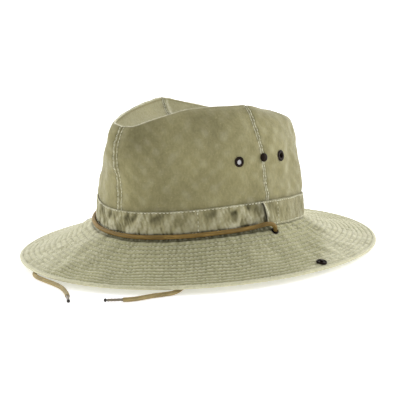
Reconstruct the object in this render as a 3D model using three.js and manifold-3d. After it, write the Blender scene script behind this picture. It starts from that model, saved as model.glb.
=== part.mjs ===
// A cotton safari hat: a four-panel crown with a teardrop dent, a self-fabric band with lapped
// ends, a brim with a rolled edge, blackened eyelets and press studs, and a chin cord.
// Millimetres, +Z up. The hat stands on its brim with its front towards -Y and the wearer's left
// towards +X. The origin is on the standing surface, under the middle of the brim.
import * as THREE from 'three';
import { NURBSCurve } from 'three/addons/curves/NURBSCurve.js';
import { mergeVertices } from 'three/addons/utils/BufferGeometryUtils.js';
import Module from 'manifold-3d';

const wasm = await Module();
wasm.setup();

// ---- driving dimensions ----

const GAP = 0.3; // clearance between neighbouring pieces
const COLUMNS = 60; // columns of faces round the head
const FULL_TURN = 360;

// How the hat stands: it leans back a little, with the front of its brim on the two cord ends.
const LEAN_BACK = 1.455; // degrees
const STAND_DROP = 0.65; // of the hat's own origin, below the standing surface
const STAND_BACK = 2.98; // of the same point, behind the middle of the brim

// Crown: outside of the cloth where it is sewn to the brim.
const CROWN_HALF_WIDTH = 84.8;
const CROWN_HALF_LENGTH = 102.8;
const CROWN_CLOTH = 2;
const HEM_DROP = 4; // how far the crown's hem hangs below the sewn line
const CREST_MITRE = 2.4; // longest inner mitre at the folded crest, in cloth thicknesses

// Height of the sewn line: a mean, and how it rises and falls round the head.
const SEAM_HEIGHT = 31;
const SEAM_BACK_DROP = 4.6;
const SEAM_SIDE_RISE = 4.3;
const SEAM_LEFT_DROP = 0.8;

// Teardrop dent in the top.
const DENT_FORE = -12;
const DENT_HEIGHT = 116;
const DENT_WALL_SHARE = 0.6; // share of the depth that falls away close behind the crest
const DENT_WALL_POWER = 12;

// Band.
const BAND_CLOTH = 1.1;
const BAND_HEIGHT = 22.4;
const BAND_LAP = 0.4; // air between the two lapped layers
const BAND_HIDDEN_END = 14; // angle of the end that lies underneath
const BAND_FREE_END = -5; // angle of the folded end on top
const BAND_STEP = 6.3; // angle covered by one column of faces
const BAND_RAMP = 15; // angle over which the outer layer climbs onto the inner one
const BAND_CREST = 2; // angle by which it has climbed before it reaches the inner one
const BAND_FLARE = 1.2; // how far the folded end stands off at half height
const BAND_FLARE_ANGLE = 9;
const BAND_GAP = 0.4; // air between the crown and the band
const BAND_ROWS = [0, 0.33, 0.67, 1]; // rows of faces, as shares of the way up

// Brim.
const BRIM_HALF_WIDTH = 154.6;
const BRIM_HALF_LENGTH = 172.3;
const BRIM_FORE_SHIFT = -3;
const BRIM_CLOTH = 2.6;
const BRIM_EDGE = 3.2; // thickness of the rolled edge
const BRIM_ROLL = 0.8; // how far the rolled edge rounds outwards
const BRIM_HEEL = 2.6; // width of the flat underside of the rolled edge
const BRIM_HOLLOW = 0.6; // how much steeper the brim leaves the crown than a straight cone

// Blackened metal fittings.
const EYELET = { hole: 2.2, barrel: 2.7, flange: 4.8, washer: 4.2, bevel: 0.9 };
const CORD_EYELET = { hole: 2.5, barrel: 2.9, flange: 3.6, washer: 3.6, bevel: 0.5 };
const STUD_RADIUS = 4;
const STUD_HEIGHT = 2.6;
const STUD_POST = 1.4;
const SOCKET_RADIUS = 5;
const SOCKET_RIM = 3.6;
const SOCKET_RIM_HEIGHT = 1.8;
const SOCKET_PIN = 1.6;
const SOCKET_PIN_HEIGHT = 2.8;
const SOCKET_WASHER = 3;
const FITTING_SEAT = 0.5; // clearance under a flat flange on curved cloth
const FITTING_THICK = 0.9; // of the flanges and washers
const FITTING_BEVEL = 0.3;
const FITTING_SIDES = 10;
const FITTINGS = [
  { name: 'front_eyelet', angle: -16, height: 94.5, kind: 'eyelet' },
  { name: 'crown_stud', angle: 0.5, height: 95.3, kind: 'stud' },
  { name: 'rear_eyelet', angle: 15.6, height: 93.2, kind: 'eyelet' },
];
const CORD_HOLE = { angle: 0, out: 92.5 };
const BRIM_SOCKET = { angle: 1, out: 147.6 };

// Chin cord.
const CORD_RADIUS = 2;
const CORD_SIDES = 8;
const ROUTE_DEGREE = 3; // of the smooth curve through a cord's route
const TIP_SLEEVE_RADIUS = 1.15;
const TIP_SLEEVE_LENGTH = 14;
const TIP_BEAD_RADIUS = 1.45;
const TIP_BEAD_LENGTH = 3;
const TIP_BEVEL = 0.7;

// The crest, where the wall folds over into the dent. `angle` is the place on the sewn line that
// the row stands above: -90 front, 0 side, 90 back. `out` is the half width there, `fore` the
// place along Y, `high` the height, and `lean` is how much higher the left crest is than that.
const CREST = [
  { angle: -90, out: 0, fore: -96.5, high: 129.6, lean: 0 },
  { angle: -78, out: 13, fore: -95, high: 131.5, lean: 0 },
  { angle: -60, out: 22.8, fore: -76, high: 136, lean: 1.1 },
  { angle: -42, out: 33, fore: -52.5, high: 139.3, lean: 2.9 },
  { angle: -21, out: 43.6, fore: -24, high: 140, lean: 2.8 },
  { angle: 0, out: 51, fore: 4, high: 139.2, lean: 2 },
  { angle: 21, out: 50.4, fore: 25, high: 133.8, lean: 1.7 },
  { angle: 45, out: 44, fore: 48, high: 126.2, lean: 1.8 },
  { angle: 68, out: 26, fore: 65, high: 121.5, lean: 1 },
  { angle: 90, out: 0, fore: 71, high: 119.5, lean: 0 },
];

// The crown's wall from the sewn line (rise 0) to the crest (rise 1). `side` and `back` are the
// share of the way in to the crest; `front` is how far the front panel seam bellies out, in mm.
const WALL = [
  { rise: 0, side: 0, back: 0, front: 0 },
  { rise: 0.13, side: 0.015, back: 0.01, front: 1 },
  { rise: 0.26, side: 0.05, back: 0.03, front: 1.9 },
  { rise: 0.38, side: 0.13, back: 0.055, front: 2.6 },
  { rise: 0.5, side: 0.195, back: 0.075, front: 3.9 },
  { rise: 0.62, side: 0.26, back: 0.11, front: 6.2 },
  { rise: 0.74, side: 0.375, back: 0.16, front: 8 },
  { rise: 0.84, side: 0.53, back: 0.24, front: 7.6 },
  { rise: 0.91, side: 0.65, back: 0.33, front: 5.6 },
  { rise: 0.96, side: 0.79, back: 0.58, front: 3.4 },
  { rise: 1, side: 1, back: 1, front: 0 },
];
const FRONT_BELLY_ANGLE = 30; // reach of the front belly to each side of the seam

// Soft hollows and folds pressed into the wall; depth is inwards.
const HOLLOWS = [
  { angle: -66, rise: 0.84, depth: 3.5, wide: 13, tall: 0.15 },
  { angle: -114, rise: 0.84, depth: 3, wide: 13, tall: 0.15 },
  { angle: -34, rise: 0.34, depth: 1.2, wide: 16, tall: 0.16 },
  { angle: 30, rise: 0.42, depth: 1.6, wide: 8, tall: 0.2 },
  { angle: 41, rise: 0.45, depth: -1.2, wide: 6, tall: 0.25 },
  { angle: 150, rise: 0.5, depth: 2, wide: 14, tall: 0.2 },
  { angle: 116, rise: 0.6, depth: 1.5, wide: 10, tall: 0.22 },
];

// Rows of faces down the dent, as the share of the way from its middle to the crest.
const DENT_ROWS = [0, 0.24, 0.47, 0.67, 0.82, 0.91, 0.965];

// Height of the brim's lower edge above the standing surface, which it touches at 0.
const BRIM_LINE = [
  { angle: -180, high: 0.8 },
  { angle: -150, high: 1.8 },
  { angle: -120, high: 4.5 },
  { angle: -75, high: 4.4 },
  { angle: -30, high: 4.6 },
  { angle: 0, high: 3.7 },
  { angle: 50, high: 0.1 },
  { angle: 90, high: 0.4 },
  { angle: 120, high: 0 },
  { angle: 150, high: 0 },
  { angle: 180, high: 0.8 },
];

// Soft ridges that run out across the brim; `wide` is in degrees.
const BRIM_RIDGES = [
  { angle: -113, height: 2, wide: 7 },
  { angle: 37, height: 1.5, wide: 7 },
  { angle: -72, height: -1, wide: 9 },
  { angle: 140, height: 1.5, wide: 10 },
];

// Rows of faces across the brim, as shares of the way out to the edge.
const BRIM_ROWS = [0, 0.1, 0.22, 0.38, 0.56, 0.76, 0.93];

// The cord's route. Its front stretch lies in the corner between band and brim, from the left
// hole round the front to the right hole; each end then drops through its hole to the surface.
const FRONT_ROUTE = [
  { x: 91.95, y: 3.65, z: 28.45 },
  { x: 92.55, y: 3.65, z: 29.6 },
  { x: 93.5, y: 3.3, z: 31.6 },
  { x: 94.4, y: 1.7, z: 34.6 },
  { x: 94.5, y: -1.9, z: 37.4 },
  { x: 93.3, y: -7, z: 38.6 },
  { x: 91.3, y: -12.2, z: 37.8 },
  { x: 88.9, y: -17.8, z: 36.8 },
  { x: 85.6, y: -26.6, z: 36.3 },
  { x: 81.3, y: -39.4, z: 36.1 },
  { x: 76.7, y: -50.1, z: 36.1 },
  { x: 70.7, y: -60.9, z: 35.9 },
  { x: 63.7, y: -70.8, z: 35.6 },
  { x: 55.6, y: -79.6, z: 35.2 },
  { x: 46.7, y: -87.2, z: 34.9 },
  { x: 37.1, y: -93.4, z: 34.5 },
  { x: 27, y: -98.1, z: 34.1 },
  { x: 16.3, y: -101.3, z: 34 },
  { x: 5.5, y: -102.9, z: 34 },
  { x: -5.5, y: -102.9, z: 34.1 },
  { x: -16.3, y: -101.3, z: 34.4 },
  { x: -27, y: -98.1, z: 34.8 },
  { x: -37.1, y: -93.3, z: 35.4 },
  { x: -46.7, y: -87.1, z: 35.7 },
  { x: -55.6, y: -79.6, z: 36.1 },
  { x: -63.7, y: -70.8, z: 36.6 },
  { x: -70.7, y: -60.9, z: 37 },
  { x: -76.8, y: -50.1, z: 37.2 },
  { x: -81.3, y: -39.3, z: 37.3 },
  { x: -85.6, y: -26.6, z: 37.3 },
  { x: -88.9, y: -17.8, z: 37.7 },
  { x: -91.4, y: -12.2, z: 38.6 },
  { x: -93.4, y: -7, z: 39.4 },
  { x: -94.7, y: -1.9, z: 38.2 },
  { x: -94.6, y: 1.7, z: 35.3 },
  { x: -93.6, y: 3.3, z: 32.3 },
  { x: -92.6, y: 3.65, z: 30.3 },
  { x: -91.9, y: 3.65, z: 29.15 },
];
const LEFT_ROUTE = [
  { x: 91.78, y: 3.35, z: 28.15 },
  { x: 91.1, y: 3.3, z: 27 },
  { x: 90.1, y: 3.1, z: 24.6 },
  { x: 89.4, y: 2.4, z: 20.4 },
  { x: 89.5, y: 0.6, z: 14.8 },
  { x: 90.3, y: -3, z: 9.2 },
  { x: 91.5, y: -8.2, z: 4.9 },
  { x: 92.6, y: -15, z: 2.7 },
  { x: 93.1, y: -23.5, z: 2.03 },
  { x: 93, y: -34, z: 2.03 },
  { x: 92.5, y: -45, z: 2.03 },
  { x: 91.8, y: -56, z: 2.03 },
  { x: 90.9, y: -67, z: 2.03 },
  { x: 89.9, y: -78, z: 2.03 },
  { x: 88.8, y: -89, z: 2.03 },
  { x: 88.1, y: -99.5, z: 2.03 },
  { x: 89.3, y: -109.5, z: 2.03 },
  { x: 93.1, y: -118.7, z: 2.03 },
  { x: 97.2, y: -127, z: 2.03 },
  { x: 98, y: -134.5, z: 2.03 },
  { x: 95, y: -141.5, z: 2.03 },
  { x: 91.2, y: -148.5, z: 2.03 },
  { x: 88.9, y: -156.5, z: 2.03 },
  { x: 87.3, y: -163.5, z: 2.03 },
  { x: 84.6, y: -169.6, z: 2.03 },
  { x: 81.9, y: -173.2, z: 2.08 },
  { x: 79.3, y: -175.3, z: 2.03 },
];
const RIGHT_ROUTE = [
  { x: -91.67, y: 3.37, z: 28.95 },
  { x: -90.95, y: 3.3, z: 27.8 },
  { x: -90, y: 3.1, z: 25.4 },
  { x: -89.3, y: 2.4, z: 21.2 },
  { x: -89.4, y: 0.6, z: 15.4 },
  { x: -90.2, y: -3, z: 9.6 },
  { x: -91.4, y: -8.2, z: 5.1 },
  { x: -92.4, y: -15, z: 2.75 },
  { x: -93, y: -23.5, z: 2.03 },
  { x: -93.2, y: -34, z: 2.03 },
  { x: -92.7, y: -45, z: 2.03 },
  { x: -91.4, y: -56, z: 2.03 },
  { x: -89.3, y: -67, z: 2.03 },
  { x: -86.5, y: -77.6, z: 2.03 },
  { x: -83.1, y: -88, z: 2.03 },
  { x: -79.3, y: -98.2, z: 2.03 },
  { x: -75.3, y: -108.4, z: 2.03 },
  { x: -71.1, y: -118.5, z: 2.03 },
  { x: -66.7, y: -128.5, z: 2.03 },
  { x: -62.3, y: -138.4, z: 2.03 },
  { x: -57.9, y: -148, z: 2.03 },
  { x: -52.9, y: -157.2, z: 2.03 },
  { x: -45.6, y: -164.4, z: 2.03 },
  { x: -35.8, y: -168.4, z: 2.03 },
  { x: -25.4, y: -170.9, z: 2.03 },
  { x: -14.5, y: -173.2, z: 2.03 },
  { x: -4, y: -175.6, z: 2.03 },
  { x: 6, y: -179.2, z: 2.03 },
  { x: 15.5, y: -184.4, z: 2.03 },
  { x: 23.5, y: -189.9, z: 2.03 },
  { x: 29.2, y: -194, z: 2.08 },
  { x: 32.3, y: -196.7, z: 2.03 },
];

// ---- shape functions ----

const radians = THREE.MathUtils.degToRad;
const NEAR_ANGLE = 2; // steps to either side when a slope is taken
const NEAR_SHARE = 0.02;

// Smooth curve through a column of a table, at a place given in the table's `key` column.
function read(table, key, column, place) {
  let i = 0;
  while (i < table.length - 2 && place > table[i + 1][key]) i += 1;
  const slope = (a, b) => (table[b][column] - table[a][column]) / (table[b][key] - table[a][key]);
  const width = table[i + 1][key] - table[i][key];
  const t = THREE.MathUtils.clamp((place - table[i][key]) / width, 0, 1);
  const from = slope(Math.max(i - 1, 0), i + 1) * width;
  const to = slope(i, Math.min(i + 2, table.length - 1)) * width;
  const start = table[i][column];
  const step = table[i + 1][column] - start;
  return start + t * (from + t * (3 * step - 2 * from - to + t * (from + to - 2 * step)));
}

// Angles are measured round the head in degrees: -90 front, 0 left, 90 back, 180 right.
function wrapped(angle) {
  return THREE.MathUtils.euclideanModulo(angle + 180, FULL_TURN) - 180;
}

// The hat's lean, and the direction straight up as the leaning hat sees it.
const LEAN = new THREE.Quaternion().setFromEuler(new THREE.Euler(-radians(LEAN_BACK), 0, 0));
const UPRIGHT = new THREE.Vector3(0, 0, 1).applyQuaternion(LEAN.clone().invert());

function bump(distance) {
  return Math.exp(-distance * distance);
}

function seamHeight(angle) {
  const a = radians(angle);
  const sides = SEAM_SIDE_RISE * Math.cos(2 * a) - SEAM_LEFT_DROP * Math.cos(a);
  return SEAM_HEIGHT - SEAM_BACK_DROP * Math.sin(a) + sides;
}

function ellipse(angle, halfWidth, halfLength) {
  const a = radians(angle);
  return new THREE.Vector3(halfWidth * Math.cos(a), halfLength * Math.sin(a), 0);
}

// Level direction straight out from the sewn line.
function outward(angle) {
  return ellipse(angle, 1 / CROWN_HALF_WIDTH, 1 / CROWN_HALF_LENGTH).normalize();
}

function crest(angle) {
  const a = wrapped(angle);
  const right = Math.abs(a) > 90;
  const place = right ? Math.sign(a) * 180 - a : a;
  const side = right ? -1 : 1;
  const high = read(CREST, 'angle', 'high', place) + side * read(CREST, 'angle', 'lean', place);
  return new THREE.Vector3(
    side * read(CREST, 'angle', 'out', place),
    read(CREST, 'angle', 'fore', place),
    high,
  );
}

// Outside of the crown's wall.
function wall(angle, rise) {
  const foot = ellipse(angle, CROWN_HALF_WIDTH, CROWN_HALF_LENGTH);
  const top = crest(angle);
  const back = Math.max(Math.sin(radians(angle)), 0);
  const side = read(WALL, 'rise', 'side', rise);
  const inward = THREE.MathUtils.lerp(side, read(WALL, 'rise', 'back', rise), back);
  const point = foot.clone().lerp(new THREE.Vector3(top.x, top.y, 0), inward);
  const fromFront = Math.min(Math.abs(wrapped(angle + 90)) / FRONT_BELLY_ANGLE, 1);
  let out = read(WALL, 'rise', 'front', rise) * Math.cos(fromFront * Math.PI / 2) ** 2;
  for (const hollow of HOLLOWS) {
    const across = bump(wrapped(angle - hollow.angle) / hollow.wide);
    out -= hollow.depth * across * bump((rise - hollow.rise) / hollow.tall) * (1 - rise ** 8);
  }
  point.addScaledVector(outward(angle), out);
  point.z = THREE.MathUtils.lerp(seamHeight(angle), top.z, rise);
  return point;
}

// Outside of the cloth in the dent; share 1 is the crest and 0 the middle.
function dent(angle, share) {
  const top = crest(angle);
  const middle = new THREE.Vector3(0, DENT_FORE, DENT_HEIGHT);
  const fall = DENT_WALL_SHARE * share ** DENT_WALL_POWER + (1 - DENT_WALL_SHARE) * share ** 2;
  const point = middle.clone().lerp(top, share);
  point.z = THREE.MathUtils.lerp(middle.z, top.z, fall);
  return point;
}

// Moves a point to a height above the standing surface, in the leaning hat's own frame.
function aboveFloor(point, height) {
  const level = STAND_DROP - UPRIGHT.x * point.x - UPRIGHT.y * point.y;
  return point.setZ((level + height) / UPRIGHT.z);
}

function brimEdge(angle, inset = 0) {
  const point = ellipse(angle, BRIM_HALF_WIDTH - inset, BRIM_HALF_LENGTH - inset);
  point.y += BRIM_FORE_SHIFT;
  return aboveFloor(point, Math.max(read(BRIM_LINE, 'angle', 'high', wrapped(angle)), 0));
}

// Middle surface of the brim's upper side; share 0 is at the crown and 1 at the edge.
function brimTop(angle, share) {
  const inner = ellipse(angle, CROWN_HALF_WIDTH + GAP, CROWN_HALF_LENGTH + GAP);
  const edge = brimEdge(angle);
  const point = inner.clone().lerp(edge, share);
  const fall = share + BRIM_HOLLOW * share * (1 - share);
  point.z = THREE.MathUtils.lerp(seamHeight(angle), edge.z + BRIM_EDGE, fall);
  for (const ridge of BRIM_RIDGES) {
    const across = bump(wrapped(angle - ridge.angle) / ridge.wide);
    point.z += ridge.height * across * Math.sin(Math.PI * share);
  }
  return point;
}

// Straight out of a surface at an angle and a share of its height or width.
function normalOf(surface, angle, share) {
  const round = surface(angle + NEAR_ANGLE, share).sub(surface(angle - NEAR_ANGLE, share));
  const along = surface(angle, share + NEAR_SHARE).sub(surface(angle, share - NEAR_SHARE));
  return round.cross(along).normalize();
}

// ---- solids ----

const WELD = 1e-4; // points closer than this are one point

function addTriangle(positions, a, b, c) {
  if (a.distanceTo(b) < WELD || b.distanceTo(c) < WELD || c.distanceTo(a) < WELD) return;
  positions.push(...a, ...b, ...c);
}

function signedVolume(positions) {
  const [a, b, c] = [new THREE.Vector3(), new THREE.Vector3(), new THREE.Vector3()];
  let volume = 0;
  for (let i = 0; i < positions.length; i += 9) {
    a.fromArray(positions, i);
    b.fromArray(positions, i + 3);
    c.fromArray(positions, i + 6);
    volume += a.dot(b.cross(c)) / 6;
  }
  return volume;
}

function toGeometry(positions) {
  if (signedVolume(positions) < 0) {
    for (let i = 0; i < positions.length; i += 9) {
      const second = positions.slice(i + 3, i + 6);
      for (let k = 0; k < 3; k += 1) {
        positions[i + 3 + k] = positions[i + 6 + k];
        positions[i + 6 + k] = second[k];
      }
    }
  }
  const geometry = new THREE.BufferGeometry();
  geometry.setAttribute('position', new THREE.Float32BufferAttribute(positions, 3));
  return mergeVertices(geometry, WELD);
}

// Closes an end of a strip whose section runs up one face and down the other.
function addEnd(positions, section) {
  const last = section.length - 1;
  for (let j = 0; j < section.length / 2 - 1; j += 1) {
    addTriangle(positions, section[j], section[j + 1], section[last - 1 - j]);
    addTriangle(positions, section[j], section[last - 1 - j], section[last - j]);
  }
}

// Skins a row of closed sections, either as a ring or as a strip with two ends.
function skin(sections, ring) {
  const positions = [];
  const count = sections[0].length;
  const spans = ring ? sections.length : sections.length - 1;
  for (let i = 0; i < spans; i += 1) {
    const from = sections[i];
    const to = sections[(i + 1) % sections.length];
    for (let j = 0; j < count; j += 1) {
      const next = (j + 1) % count;
      addTriangle(positions, from[j], to[j], to[next]);
      addTriangle(positions, from[j], to[next], from[next]);
    }
  }
  if (!ring) {
    addEnd(positions, sections[0]);
    addEnd(positions, [...sections[sections.length - 1]].reverse());
  }
  return toGeometry(positions);
}

function toManifold(geometry) {
  const bare = geometry.clone();
  bare.deleteAttribute('normal');
  bare.deleteAttribute('uv');
  const merged = mergeVertices(bare, WELD);
  return new wasm.Manifold(new wasm.Mesh({
    numProp: 3,
    vertProperties: merged.attributes.position.array,
    triVerts: new Uint32Array(merged.index.array),
  }));
}

function cutHoles(geometry, tools) {
  let body = toManifold(geometry);
  for (const tool of tools) body = body.subtract(toManifold(tool));
  const mesh = body.getMesh();
  const result = new THREE.BufferGeometry();
  result.setAttribute('position', new THREE.BufferAttribute(mesh.vertProperties, 3));
  result.setIndex(new THREE.BufferAttribute(mesh.triVerts, 1));
  return result;
}

function placed(object, seat) {
  object.position.copy(seat.point);
  object.quaternion.setFromUnitVectors(new THREE.Vector3(0, 1, 0), seat.axis);
  return object;
}

const DRILL_LENGTH = 14;

// A round cutter through the cloth at a seat.
function drill(seat, radius) {
  const cutter = new THREE.CylinderGeometry(radius, radius, DRILL_LENGTH, FITTING_SIDES);
  const holder = placed(new THREE.Object3D(), seat);
  holder.updateMatrix();
  return cutter.applyMatrix4(holder.matrix);
}

function turned(profile, sides = FITTING_SIDES) {
  const points = profile.map(([radius, height]) => new THREE.Vector2(radius, height));
  return new THREE.LatheGeometry(points, sides);
}

// ---- materials ----

const CROWN_COLOUR = 0x9a946c;
const BAND_COLOUR = 0x9c9671;
const BRIM_COLOUR = 0xaaa586;
const CORD_COLOUR = 0xa28e63;
const TIP_COLOUR = 0x848076;
const METAL_COLOUR = 0x1f1b18;

function cloth(color) {
  return new THREE.MeshStandardMaterial({ color, roughness: 0.92, metalness: 0 });
}

function blackMetal() {
  return new THREE.MeshStandardMaterial({ color: METAL_COLOUR, roughness: 0.38, metalness: 0.85 });
}

// ---- crown ----

const steps = (count) => Array.from({ length: count }, (_, i) => i);

function hem(angle) {
  const point = wall(angle, 0);
  point.z -= HEM_DROP;
  return point;
}

// The rows of points down one column of the crown, from the middle of the dent to the hem.
const CROWN_ROWS = [
  ...DENT_ROWS.map((share) => ({ surface: dent, place: share })),
  ...[...WALL].reverse().map((row) => ({ surface: wall, place: row.rise })),
  { surface: hem, place: 0 },
];

// The way from the outside of the cloth to its inside, mitred where two faces meet in a fold.
function inside(before, after) {
  const sum = before.clone().add(after);
  const mitre = sum.multiplyScalar(-CROWN_CLOTH / (1 + before.dot(after)));
  return mitre.clampLength(0, CREST_MITRE * CROWN_CLOTH);
}

function crownSection(angle) {
  const outer = CROWN_ROWS.map((row) => row.surface(angle, row.place));
  const inner = outer.map((point, i) => {
    if (i === 0) return point.clone().setZ(point.z - CROWN_CLOTH);
    const { surface, place } = CROWN_ROWS[i];
    const round = surface(angle + 1, place).sub(surface(angle - 1, place));
    const before = point.clone().sub(outer[i - 1]).cross(round).normalize();
    const next = outer[i + 1];
    const after = next ? next.clone().sub(point).cross(round).normalize() : before;
    return point.clone().add(inside(before, after));
  });
  return outer.concat(inner.reverse());
}

function crownGeometry(holes) {
  const sections = steps(COLUMNS).map((i) => crownSection((i * FULL_TURN) / COLUMNS));
  return cutHoles(skin(sections, true), holes);
}

// ---- band ----

// One strip of cloth, laid on from its hidden end forwards round the head and over itself.
const BAND_TURN = FULL_TURN + BAND_HIDDEN_END - BAND_FREE_END;

function bandSection(travel) {
  const angle = BAND_HIDDEN_END - travel;
  const top = FULL_TURN - BAND_CREST;
  const climb = THREE.MathUtils.smoothstep(travel, top - BAND_RAMP, top);
  const toEnd = Math.max(1 - (BAND_TURN - travel) / BAND_FLARE_ANGLE, 0);
  const out = outward(angle);
  const place = (share, thickness) => {
    const rise = (share * BAND_HEIGHT) / (crest(angle).z - seamHeight(angle));
    const flare = BAND_FLARE * toEnd ** 2 * Math.sin(Math.PI * share);
    const point = wall(angle, rise);
    point.addScaledVector(out, BAND_GAP + climb * (BAND_CLOTH + BAND_LAP) + flare + thickness);
    point.z = seamHeight(angle) + GAP + share * BAND_HEIGHT;
    return point;
  };
  const outer = BAND_ROWS.map((share) => place(share, BAND_CLOTH));
  const inner = BAND_ROWS.map((share) => place(share, 0));
  return outer.concat(inner.reverse());
}

function bandGeometry() {
  const count = Math.ceil(BAND_TURN / BAND_STEP);
  return skin(steps(count + 1).map((i) => bandSection((i * BAND_TURN) / count)), false);
}

// ---- brim ----

function brimSection(angle) {
  const edge = brimEdge(angle);
  const heel = brimEdge(angle, BRIM_HEEL);
  const out = outward(angle);
  const top = BRIM_ROWS.map((share) => brimTop(angle, share));
  const under = top.map((point) => point.clone().setZ(point.z - BRIM_CLOTH));
  const upperRim = edge.clone().setZ(edge.z + BRIM_EDGE);
  const nose = edge.clone().setZ(edge.z + BRIM_EDGE / 2).addScaledVector(out, BRIM_ROLL);
  return [...top, upperRim, nose, edge, heel, ...under.reverse()];
}

function brimGeometry(holes) {
  const sections = steps(COLUMNS).map((i) => brimSection((i * FULL_TURN) / COLUMNS));
  return cutHoles(skin(sections, true), holes);
}

// ---- fittings ----

// A seat is a point on the cloth with the direction straight out of it.
function wallSeat(angle, height) {
  const foot = seamHeight(angle);
  const rise = (height - foot) / (crest(angle).z - foot);
  const axis = normalOf(wall, angle, rise);
  return { point: wall(angle, rise), axis };
}

function brimSeat(angle, out) {
  const inner = ellipse(angle, CROWN_HALF_WIDTH + GAP, CROWN_HALF_LENGTH + GAP).length();
  const share = (out - inner) / (brimEdge(angle).setZ(0).length() - inner);
  const axis = normalOf(brimTop, angle, share);
  if (axis.z < 0) axis.negate();
  return { point: brimTop(angle, share), axis };
}

function eyeletGeometry(size, clothDepth) {
  const seat = FITTING_SEAT;
  const front = seat + FITTING_THICK;
  const back = -clothDepth - seat;
  return turned([
    [size.hole, front],
    [size.hole, back - FITTING_THICK],
    [size.washer, back - FITTING_THICK],
    [size.washer, back],
    [size.barrel, back],
    [size.barrel, seat],
    [size.flange, seat],
    [size.flange - size.bevel, front],
    [size.hole, front],
  ]);
}

// A domed stud on a post, riveted to a washer behind the cloth.
function studGeometry() {
  const seat = FITTING_SEAT;
  const back = -CROWN_CLOTH - seat;
  return turned([
    [0, back - FITTING_THICK],
    [STUD_RADIUS, back - FITTING_THICK],
    [STUD_RADIUS, back],
    [STUD_POST, back],
    [STUD_POST, seat],
    [STUD_RADIUS, seat],
    [STUD_RADIUS, seat + 0.35 * STUD_HEIGHT],
    [0.7 * STUD_RADIUS, seat + 0.8 * STUD_HEIGHT],
    [0, seat + STUD_HEIGHT],
  ]);
}

// The stud's mate on the brim: a dish with a raised rim and a centre pin.
function socketGeometry() {
  const seat = FITTING_SEAT;
  const back = -BRIM_CLOTH - GAP;
  const dish = seat + FITTING_THICK;
  return turned([
    [0, back - FITTING_THICK],
    [SOCKET_WASHER, back - FITTING_THICK],
    [SOCKET_WASHER, back],
    [STUD_POST, back],
    [STUD_POST, seat],
    [SOCKET_RADIUS, seat],
    [SOCKET_RADIUS - FITTING_BEVEL, seat + SOCKET_RIM_HEIGHT],
    [SOCKET_RIM, seat + SOCKET_RIM_HEIGHT],
    [SOCKET_RIM - FITTING_BEVEL, dish],
    [SOCKET_PIN, dish],
    [SOCKET_PIN - FITTING_BEVEL, seat + SOCKET_PIN_HEIGHT],
    [0, seat + SOCKET_PIN_HEIGHT],
  ]);
}

// ---- chin cord ----

// A smooth curve drawn by a list of points, which steps evenly from point to point.
class Route extends NURBSCurve {
  constructor(route) {
    const spans = route.length - ROUTE_DEGREE;
    const knots = steps(route.length + ROUTE_DEGREE + 1).map((i) => (
      THREE.MathUtils.clamp((i - ROUTE_DEGREE) / spans, 0, 1)
    ));
    super(ROUTE_DEGREE, knots, route.map(({ x, y, z }) => new THREE.Vector4(x, y, z, 1)));
    this.spans = spans;
  }

  getUtoTmapping(u) {
    return u;
  }
}

function cordGeometry(route) {
  const curve = new Route(route);
  const section = new THREE.Shape(steps(CORD_SIDES).map((i) => {
    const a = ((i + 0.5) * 2 * Math.PI) / CORD_SIDES;
    return new THREE.Vector2(CORD_RADIUS * Math.cos(a), CORD_RADIUS * Math.sin(a));
  }));
  return new THREE.ExtrudeGeometry(section, { steps: curve.spans, extrudePath: curve });
}

// A shrunk sleeve and a sealed black bead, in line with the end of the cord.
function tipGeometry() {
  const end = TIP_SLEEVE_LENGTH + TIP_BEAD_LENGTH;
  return turned([
    [0, GAP],
    [TIP_SLEEVE_RADIUS, GAP],
    [TIP_SLEEVE_RADIUS, TIP_SLEEVE_LENGTH],
    [TIP_BEAD_RADIUS, TIP_SLEEVE_LENGTH + TIP_BEVEL],
    [TIP_BEAD_RADIUS, end - TIP_BEVEL],
    [TIP_BEAD_RADIUS - TIP_BEVEL, end],
    [0, end],
  ], CORD_SIDES);
}

function tipSeat(route) {
  const curve = new Route(route);
  return { point: curve.getPoint(1), axis: curve.getTangent(1) };
}

// ---- assembly ----

const part = new THREE.Group();
const hat = new THREE.Group();
hat.quaternion.copy(LEAN);
hat.position.set(0, STAND_BACK, -STAND_DROP);
part.add(hat);

function add(group, name, geometry, material, seat) {
  const mesh = new THREE.Mesh(geometry, material);
  mesh.name = name;
  if (seat) placed(mesh, seat);
  group.add(mesh);
}

// Each side of the hat carries the same fittings; the right side's angles are mirrored.
const SIDES = [
  { side: 'left', mirror: (angle) => angle },
  { side: 'right', mirror: (angle) => 180 - angle },
];
const crownHoles = [];
const brimHoles = [];

for (const { side, mirror } of SIDES) {
  for (const fitting of FITTINGS) {
    const seat = wallSeat(mirror(fitting.angle), fitting.height);
    const pierced = fitting.kind === 'eyelet';
    const geometry = pierced ? eyeletGeometry(EYELET, CROWN_CLOTH) : studGeometry();
    add(hat, `${fitting.name}_${side}`, geometry, blackMetal(), seat);
    crownHoles.push(drill(seat, (pierced ? EYELET.barrel : STUD_POST) + GAP));
  }
  const cordSeat = brimSeat(mirror(CORD_HOLE.angle), CORD_HOLE.out);
  const cordEyelet = eyeletGeometry(CORD_EYELET, BRIM_CLOTH);
  add(hat, `cord_eyelet_${side}`, cordEyelet, blackMetal(), cordSeat);
  brimHoles.push(drill(cordSeat, CORD_EYELET.barrel + GAP));
  const socketSeat = brimSeat(mirror(BRIM_SOCKET.angle), BRIM_SOCKET.out);
  add(hat, `brim_socket_${side}`, socketGeometry(), blackMetal(), socketSeat);
  brimHoles.push(drill(socketSeat, STUD_POST + GAP));
}

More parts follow.
